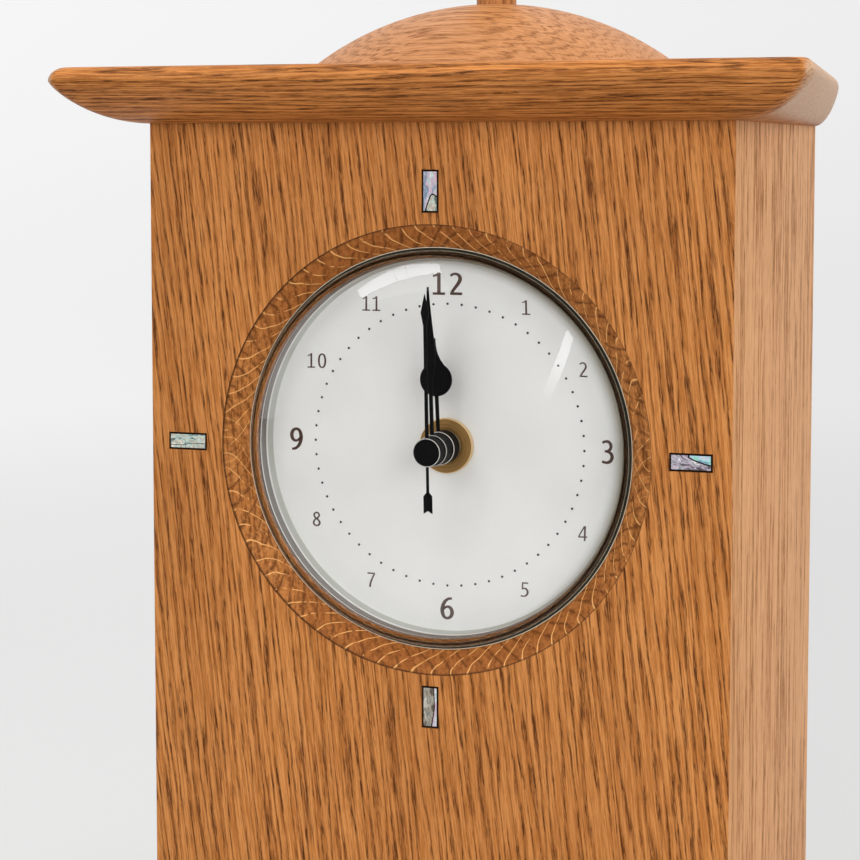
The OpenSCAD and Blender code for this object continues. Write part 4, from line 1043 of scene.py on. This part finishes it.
# hour numbers, big at the quarter hours: heights, places, depth and layer in mm, and stems, widths and gap
# as shares of the height
numerals = dict(
    big=5.75, small=3.75, bigStem=0.158, smallStem=0.128, wide=0.62, elevenWide=0.56, gap=0.17, depth=0.03,
    layer=0.002, steps=7,
    places={12: (0, 40.4), 1: (20.4, 34.9), 2: (35.1, 20.0), 3: (41.4, 0), 4: (35.1, -20.4),
            5: (20.3, -35.2), 6: (0, -41.1), 7: (-20.3, -35.1), 8: (-35.1, -20.3), 9: (-40.6, 0),
            10: (-35.0, 20.2), 11: (-20.3, 35.0)},
)
# each digit as strokes of (x, y, width) on a height of one; width is a share of the stem's
digitStrokes = {
    "0": [[(0.31, 0.95, 0.75), (0.14, 0.84, 0.95), (0.075, 0.5, 1.05), (0.14, 0.16, 0.95),
           (0.31, 0.05, 0.75), (0.48, 0.16, 0.95), (0.545, 0.5, 1.05), (0.48, 0.84, 0.95),
           (0.31, 0.95, 0.75)]],
    "1": [[(0.31, 0.0, 1.0), (0.31, 0.5, 1.0), (0.31, 1.0, 1.0)],
          [(0.04, 0.83, 0.6), (0.18, 0.87, 0.62), (0.33, 0.955, 0.66)],
          [(0.03, 0.05, 0.66), (0.3, 0.05, 0.66), (0.59, 0.05, 0.66)]],
    "2": [[(0.05, 0.85, 0.68), (0.16, 0.93, 0.7), (0.3, 0.95, 0.78), (0.44, 0.88, 0.95), (0.49, 0.72, 1.08),
           (0.42, 0.54, 1.0), (0.27, 0.34, 0.9), (0.1, 0.11, 0.8)],
          [(0.035, 0.06, 0.74), (0.3, 0.06, 0.74), (0.58, 0.06, 0.74)]],
    "3": [[(0.06, 0.89, 0.68), (0.2, 0.95, 0.7), (0.37, 0.93, 0.85), (0.47, 0.78, 1.0), (0.43, 0.63, 0.9),
           (0.3, 0.54, 0.7), (0.17, 0.53, 0.62)],
          [(0.17, 0.53, 0.62), (0.35, 0.51, 0.75), (0.49, 0.41, 0.98), (0.53, 0.27, 1.1),
           (0.45, 0.12, 0.98), (0.27, 0.045, 0.75), (0.04, 0.085, 0.68)]],
    "4": [[(0.43, 0.98, 0.72), (0.22, 0.64, 0.72), (0.03, 0.28, 0.72)],
          [(0.0, 0.27, 0.7), (0.3, 0.27, 0.7), (0.64, 0.27, 0.7)],
          [(0.46, 0.0, 1.0), (0.46, 0.5, 1.0), (0.46, 1.0, 1.0)]],
    "5": [[(0.11, 0.95, 0.72), (0.3, 0.95, 0.72), (0.53, 0.95, 0.72)],
          [(0.155, 0.98, 0.76), (0.14, 0.75, 0.74), (0.13, 0.53, 0.7)],
          [(0.1, 0.53, 0.62), (0.27, 0.59, 0.75), (0.43, 0.52, 0.95), (0.51, 0.32, 1.1), (0.43, 0.13, 0.98),
           (0.25, 0.045, 0.75), (0.03, 0.08, 0.68)]],
    "6": [[(0.52, 0.945, 0.62), (0.34, 0.91, 0.75), (0.18, 0.76, 0.95), (0.085, 0.5, 1.08),
           (0.09, 0.28, 1.05), (0.17, 0.1, 0.9), (0.32, 0.045, 0.78), (0.47, 0.13, 0.98),
           (0.53, 0.31, 1.08), (0.47, 0.5, 0.92), (0.33, 0.57, 0.72), (0.18, 0.5, 0.66), (0.1, 0.38, 0.6)]],
    "7": [[(0.03, 0.95, 0.74), (0.3, 0.95, 0.74), (0.57, 0.95, 0.74)],
          [(0.535, 0.93, 0.8), (0.38, 0.62, 0.9), (0.26, 0.3, 1.0), (0.2, 0.0, 1.05)]],
    "8": [[(0.3, 0.95, 0.76), (0.16, 0.88, 0.85), (0.11, 0.75, 0.95), (0.19, 0.6, 0.9), (0.38, 0.47, 0.9),
           (0.52, 0.27, 1.02), (0.45, 0.11, 0.95), (0.29, 0.05, 0.78), (0.13, 0.11, 0.92),
           (0.07, 0.26, 1.0), (0.17, 0.45, 0.85), (0.36, 0.58, 0.85), (0.48, 0.75, 0.92),
           (0.44, 0.88, 0.85), (0.3, 0.95, 0.76)]],
}
digitStrokes["9"] = [[(0.61 - x, 1 - y, w) for x, y, w in stroke] for stroke in digitStrokes["6"]]


def smoothed(points, steps):
    # a curve through the points that keeps their widths
    out = []
    for i in range(len(points) - 1):
        p = [Vector(points[max(0, min(len(points) - 1, i + k))]) for k in (-1, 0, 1, 2)]
        if points[0] == points[-1]:
            p[0] = Vector(points[-2]) if i == 0 else p[0]
            p[3] = Vector(points[1]) if i == len(points) - 2 else p[3]
        for k in range(steps):
            t = k / steps
            out.append(0.5 * (2 * p[1] + (p[2] - p[0]) * t + (2 * p[0] - 5 * p[1] + 4 * p[2] - p[3]) * t ** 2
                              + (3 * p[1] - p[0] - 3 * p[2] + p[3]) * t ** 3))
    return out + [Vector(points[-1])]


def addStroke(work, points, stem, place, high, low):
    # a ribbon of ink: place turns a flat point and a depth into a vertex
    line = smoothed(points, numerals["steps"])
    closed = points[0] == points[-1]
    if closed:
        line = line[:-1]
    n = len(line)
    rails = []
    for i, p in enumerate(line):
        a = line[(i - 1) % n if closed else max(0, i - 1)]
        b = line[(i + 1) % n if closed else min(n - 1, i + 1)]
        along = Vector((b.x - a.x, b.y - a.y)).normalized()
        side = Vector((-along.y, along.x)) * (p.z * stem / 2)
        flat = Vector((p.x, p.y))
        rails.append([work.verts.new(place(flat + side, high)), work.verts.new(place(flat - side, high)),
                      work.verts.new(place(flat - side, low)), work.verts.new(place(flat + side, low))])
    for i in range(n if closed else n - 1):
        a, b = rails[i], rails[(i + 1) % n]
        for k in range(4):
            work.faces.new((a[k], a[(k + 1) % 4], b[(k + 1) % 4], b[k]))
    if not closed:
        work.faces.new(rails[0])
        work.faces.new(rails[-1])


def makeNumbers(work):
    size = numerals
    for number, (x, y) in size["places"].items():
        large = number % 3 == 0
        height, stem = (size["big"], size["bigStem"]) if large else (size["small"], size["smallStem"])
        digits = str(number)
        wide = size["elevenWide"] if number == 11 else size["wide"]
        left = -(wide * len(digits) + size["gap"] * (len(digits) - 1)) / 2

        def place(flat, depth):
            return dialPoint(x + (left + flat.x) * height, y + (flat.y - 0.5) * height, depth)
        for digit in digits:
            # strokes that cross have their faces at slightly different heights
            for layer, stroke in enumerate(digitStrokes[digit]):
                face = dialFace - size["depth"] - size["layer"] * layer
                addStroke(work, stroke, stem, place, face, dialFace)
            left += wide + size["gap"]
    bmesh.ops.recalc_face_normals(work, faces=work.faces)


carry(makePiece("hourNumbers", makeNumbers, [finishes["ink"]], 30), "dial_plate")

# radius of their circle, and of a dot, in mm
minuteDots = dict(count=60, radius=35.3, dot=0.31, thick=0.03)


def dotTree():
    tree, start, end = geometryTree("minuteDots", [
        ("Count", "Int", 60), ("Track Radius", "Float", 1.0), ("Dot Radius", "Float", 0.1),
        ("Thickness", "Float", 0.1), ("Material", "Material", None)])
    given = start.outputs
    sockets = {"Vertices": given["Count"], "Radius": given["Track Radius"]}
    circle = addNode(tree, "GeometryNodeMeshCircle", sockets).outputs[0]
    sockets = {"Vertices": 20, "Radius": given["Dot Radius"], "Depth": given["Thickness"]}
    dot = addNode(tree, "GeometryNodeMeshCylinder", sockets).outputs["Mesh"]
    placed = addNode(tree, "GeometryNodeInstanceOnPoints", {"Points": circle, "Instance": dot})
    closeTree(tree, start, end, placed.outputs[0])
    return tree


def makeDots():
    size = minuteDots
    dots = bakeTree("minuteDots", dotTree(), {
        "Count": size["count"], "Track Radius": size["radius"] * mm, "Dot Radius": size["dot"] * mm,
        "Thickness": size["thick"] * mm, "Material": finishes["dots"]})
    onFace = Matrix.Translation(dialPoint(0, 0, dialFace - size["thick"] / 2))
    dots.transform(onFace @ Matrix.Rotation(math.pi / 2, 4, "X"))
    return finishPiece("minuteDots", dots, [finishes["dots"]], 30)


carry(makeDots(), "dial_plate")

# the nut's rounded edge and side carry the painted highlight
nutProfile = [(3.92, dialFace), (6.86, dialFace), (6.9, 13.6), (6.9, 12.5), (6.84, 12.3), (6.7, 12.15),
              (6.5, 12.1), (4.35, 12.1), (4.2, 12.16), (4.0, 12.4), (3.92, 12.5)]
turned("dialNut", nutProfile, ["nut", "brassPaintedHighlight"], "dial_nut", 160,
       [0, 1, 1, 1, 1, 0, 0, 0, 0, 0, 0])
bushProfile = [(2.55, 17.6), (3.9, 17.6), (3.9, 12.25), (3.82, 12.08), (3.65, 12.0), (2.75, 12.0),
               (2.6, 12.08), (2.55, 12.2)]
turned("threadedBushing", bushProfile, ["bushing"], "threaded_bushing", 128)
softened("rubber_washer", "rubberWasher", finishes["gasket"], 0.1)
print("dial and glass made")

# Hands

for node in ("second_hand", "minute_hand", "hour_hand"):
    softened(node, camelName(node), finishes["hands"], 0.07)
# painted highlight: a light rim on each collar's front edge stands in for the glint of that edge; the
# collar's radius, and the depth of its front, in mm
hubs = {"second_hand": (3.5, -2.2), "minute_hand": (3.85, 1.9), "hour_hand": (4.15, 6.7)}
hubHighlightRim = dict(width=0.15, proud=0.012, flat=0.3, ease=0.4)


def makeHubRim(work, radius, front):
    width, proud = hubHighlightRim["width"], hubHighlightRim["proud"]
    lathe(work, [(radius - width, front + width), (radius - width, front - proud),
                 (radius - width * hubHighlightRim["flat"], front - proud),
                 (radius + proud, front + width * hubHighlightRim["ease"]), (radius + proud, front + width)], 96)


for node, (radius, front) in hubs.items():
    name = node.split("_")[0] + "HubRim"
    rim = makePiece(name, lambda work: makeHubRim(work, radius, front), [finishes["hubPaintedHighlight"]], 30)
    carry(rim, node)

# Movement and door

# each node's finish, the slot of its colour, and how far its edges are eased in mm
plainParts = {
    "movement_case": ("case", "case_plastic", 0.35),
    "movement_cover": ("cover", "cover_plastic", 0.3),
    "train_plate": ("steel", "bright_steel", 0.08),
    "train_bridge": ("steel", "bright_steel", 0.08),
    "second_wheel": ("gear", "gear_brass", 0),
    "third_wheel": ("gear", "gear_brass", 0),
    "centre_wheel": ("gear", "gear_brass", 0),
    "minute_wheel": ("gear", "gear_brass", 0),
    "hour_wheel": ("gear", "gear_brass", 0),
    "fifth_wheel": ("gearWhite", "gear_plastic", 0),
    "motor_rotor": ("magnet", "magnet", 0),
    "motor_stator": ("steel", "bright_steel", 0.05),
    "motor_coil": ("copper", "copper", 0.05),
    "circuit_board": ("board", "board_green", 0.05),
    "circuit_parts": ("chip", "chip_black", 0.08),
    "set_button": ("buttonWhite", "button_white", 0.2),
    "receive_button": ("buttonBlue", "button_blue", 0.2),
    "antenna_rod": ("ferrite", "ferrite", 0.3),
    "battery_contacts": ("steel", "bright_steel", 0.08),
    "door_stops": ("door", "door_oak", 0.5),
    "back_door": ("door", "door_oak", 0.8),
    "door_knob": ("hinge", "hinge_brass", 0.15),
    "magnet_catch": ("catch", "catch_plastic", 0.4),
    "strike_plate": ("steel", "bright_steel", 0.15),
    "hinge_case_leaves": ("hinge", "hinge_brass", 0.15),
    "hinge_door_leaves": ("hinge", "hinge_brass", 0.15),
    "hinge_pins": ("hinge", "hinge_brass", 0.12),
    "hinge_case_screws": ("brassScrew", "brass_screw", 0.06),
    "hinge_door_screws": ("brassScrew", "brass_screw", 0.06),
    "base_screws": ("screwSteel", "bright_steel", 0.1),
    "movement_screws": ("screwSteel", "bright_steel", 0.08),
    "clip_screws": ("screwSteel", "bright_steel", 0.08),
    "antenna_coil": ("copper", "copper", 0.05),
    "battery": ("cell", "cell_wrap", 0),
}
for node, (look, slotName, width) in plainParts.items():
    # the CAD's own object already has the name battery
    name = "batteryCell" if node == "battery" else camelName(node)
    softened(node, name, oak["door"] if look == "door" else finishes[look], width)
print("movement and door made")

# Stage, light and camera

# floor colour, tones of the backdrop, strength of the room's light, how bright the room in front mirrors,
# and the height in metres from which the backdrop's tones are laid out
stage = dict(floor=paint(196, 196, 196), left=0.885, right=0.80, above=0.05, world=0.45, front=0.06, eye=0.22)


def plainSight(tree, glossy=True):
    # rays that should meet the pale background itself: straight from the camera, off metal or through glass
    path = addNode(tree, "ShaderNodeLightPath")
    seen = calc(tree, "MAXIMUM", path.outputs["Is Camera Ray"], path.outputs["Is Transmission Ray"])
    return calc(tree, "MAXIMUM", seen, path.outputs["Is Glossy Ray"]) if glossy else seen


def backTone(tree, sideways, upward):
    # the backdrop is a little darker to the right and lighter above
    tone = spread(tree, sideways, -0.65, -0.05, stage["left"], stage["right"])
    return calc(tree, "ADD", tone, spread(tree, upward, -0.08, 0.07, 0.0, stage["above"]))


def makeFloor():
    material, tree, shader = newMaterial("paleFloor", colour=stage["floor"], rough=0.85)
    where = addNode(tree, "ShaderNodeNewGeometry").outputs["Position"]
    place = xyz(tree, where)
    reach = addNode(tree, "ShaderNodeVectorMath", {0: where}, operation="LENGTH").outputs["Value"]
    sideways, downward = calc(tree, "DIVIDE", place[0], reach), calc(tree, "DIVIDE", -stage["eye"], reach)
    glow = addNode(tree, "ShaderNodeEmission", {"Color": backTone(tree, sideways, downward), "Strength": 1.0})
    # seen plainly the floor is mostly the backdrop's tone, and far away wholly
    share = calc(tree, "MULTIPLY", plainSight(tree), spread(tree, reach, 0.4, 1.6, 0.7, 1.0))
    mixed = addNode(tree, "ShaderNodeMixShader", {0: share, 1: shader.outputs[0], 2: glow.outputs[0]})
    # like the room, the floor in front is dark to reflections
    ahead = spread(tree, calc(tree, "MULTIPLY", place[1], -1.0), 0.1, 0.5)
    hidden = calc(tree, "MULTIPLY", ahead, addNode(tree, "ShaderNodeLightPath").outputs["Is Glossy Ray"])
    dim = addNode(tree, "ShaderNodeEmission", {"Color": (1, 1, 1, 1), "Strength": stage["front"]})
    mixed = addNode(tree, "ShaderNodeMixShader", {0: hidden, 1: mixed.outputs[0], 2: dim.outputs[0]})
    output = next(n for n in tree.nodes if n.type == "OUTPUT_MATERIAL")
    tree.links.new(mixed.outputs[0], output.inputs["Surface"])
    work = bmesh.new()
    bmesh.ops.create_grid(work, x_segments=2, y_segments=2, size=8)
    floor = addObject("floor", asMesh(work, "floor"))
    floor.data.materials.append(material)


def makeWorld():
    world = bpy.data.worlds.new("studio")
    bpy.context.scene.world = world
    world.use_nodes = True
    tree = world.node_tree
    background = next(n for n in tree.nodes if n.type == "BACKGROUND")
    # the room behind the camera is dark, so the glass mirrors little but the window
    way = xyz(tree, addNode(tree, "ShaderNodeTexCoord").outputs["Generated"])
    ahead = spread(tree, calc(tree, "MULTIPLY", way[1], -1.0), 0.2, 0.75)
    glossy = addNode(tree, "ShaderNodeLightPath").outputs["Is Glossy Ray"]
    mirrored = spread(tree, ahead, 0.0, 1.0, stage["left"], stage["front"])
    room = (stage["world"],) * 3 + (1,)
    strength = blend(tree, plainSight(tree, False), room, backTone(tree, way[0], way[2]))
    strength = blend(tree, glossy, strength, mirrored)
    background.inputs["Color"].default_value = (1, 1, 1, 1)
    tree.links.new(strength, background.inputs["Strength"])


# places and sizes in metres, power in watts; all of them point at the middle of the clock
lampAim = Vector((0, 0, 0.15))
lamps = [
    dict(name="keySoftbox", place=(-0.5, -1.9, 1.05), size=(1.3, 1.1), power=11.5, colour=(1, 0.985, 0.965)),
    dict(name="rightSoftbox", place=(1.3, -1.5, 0.75), size=(1.2, 1.0), power=11.5, colour=(1, 0.99, 0.975)),
    dict(name="topSoftbox", place=(0.15, -0.15, 2.1), size=(1.2, 1.0), power=24, colour=(1, 0.99, 0.975)),
    dict(name="rearStrip", place=(1.2, 0.6, 0.6), size=(0.8, 1.2), power=5, colour=(1, 1, 1)),
]


def makeLamps():
    for lamp in lamps:
        data = bpy.data.lights.new(lamp["name"], "AREA")
        data.shape = "RECTANGLE"
        data.size, data.size_y = lamp["size"]
        data.energy = lamp["power"]
        data.color = lamp["colour"]
        light = addObject(lamp["name"], data)
        light.location = lamp["place"]
        aim = lampAim - Vector(lamp["place"])
        light.rotation_euler = aim.to_track_quat("-Z", "Y").to_euler()
        light.visible_glossy = light.visible_transmission = False


# bright shapes that only reflections see: panes of a window, and a strip light that fades to one end;
# each is laid out by directions from the place on the glass that mirrors it, x and y on the dial in mm
panes = [
    dict(name="windowPanes", near=(-8, 43), reach=1.3, power=7.0, bars=[0.43, 0.57], fade=(2.0, 3.0),
         corners=[(-0.255, -0.124, 0.959), (-0.249, -0.586, 0.771), (-0.60, -0.638, 0.485),
                  (-0.652, -0.502, 0.569)]),
    dict(name="windowSill", near=(-8, 40), reach=1.35, power=1.0, bars=[], fade=(2.0, 3.0),
         corners=[(-0.249, -0.606, 0.755), (-0.21, -0.80, 0.56), (-0.55, -0.72, 0.42),
                  (-0.60, -0.648, 0.47)]),
    dict(name="stripLight", near=(33, 24), reach=1.3, power=7.0, bars=[], fade=(0.4, 1.0),
         corners=[(0.58, -0.437, 0.687), (0.623, -0.454, 0.637), (0.075, -0.996, 0.0), (0.025, -1.0, 0.004)]),
]


def paneMaterial(pane):
    # glows evenly, less at the bars between the panes and towards a faded end
    material = bpy.data.materials.new(pane["name"])
    material.use_nodes = True
    tree = material.node_tree
    tree.nodes.clear()
    along = xyz(tree, addNode(tree, "ShaderNodeTexCoord").outputs["UV"])[0]
    level = spread(tree, along, pane["fade"][0], pane["fade"][1], 1.0, 0.0)
    for bar in pane["bars"]:
        apart = calc(tree, "ABSOLUTE", calc(tree, "SUBTRACT", along, bar))
        level = calc(tree, "MULTIPLY", level, spread(tree, apart, 0.006, 0.016, 0.55, 1.0))
    sockets = {"Color": (1, 1, 1, 1), "Strength": calc(tree, "MULTIPLY", level, pane["power"])}
    glow = addNode(tree, "ShaderNodeEmission", sockets)
    addNode(tree, "ShaderNodeOutputMaterial", {"Surface": glow.outputs[0]})
    return material


def makePanes():
    # each is a strip of quads, with U running along it
    steps = 12
    for pane in panes:
        a, b, c, d = [dialPoint(*pane["near"], 0) + Vector(way) * pane["reach"] for way in pane["corners"]]
        points, faces, marks = [], [], []
        for i in range(steps + 1):
            t = i / steps
            points += [a.lerp(d, t), b.lerp(c, t)]
        for i in range(steps):
            faces.append((2 * i, 2 * i + 1, 2 * i + 3, 2 * i + 2))
            marks += [(i / steps, 0), (i / steps, 1), ((i + 1) / steps, 1), ((i + 1) / steps, 0)]
        mesh = bpy.data.meshes.new(pane["name"])
        mesh.from_pydata(points, [], faces)
        layer = mesh.uv_layers.new(name="along")
        for loop, mark in zip(layer.data, marks):
            loop.uv = mark
        mesh.materials.append(paneMaterial(pane))
        card = addObject(pane["name"], mesh)
        card.visible_camera = card.visible_diffuse = card.visible_shadow = card.visible_transmission = False


def makeCamera():
    # it stands to the right of the dial and a little above it, and looks slightly down; the small shift
    # moves the clock up in the frame, as the photo has it
    data = bpy.data.cameras.new("camera")
    data.sensor_width = 36
    data.lens = 97.73
    data.shift_y = -0.093
    data.clip_start, data.clip_end = 0.02, 50
    camera = addObject("camera", data)
    camera.location = dialPoint(186.3, 71.2, -535.3)
    camera.rotation_euler = (math.radians(85.33), 0, math.radians(19.19))
    bpy.context.scene.camera = camera


makeFloor()
makeWorld()
makeLamps()
makePanes()
makeCamera()
bpy.context.scene.view_settings.view_transform = "Standard"
bpy.context.view_layer.update()
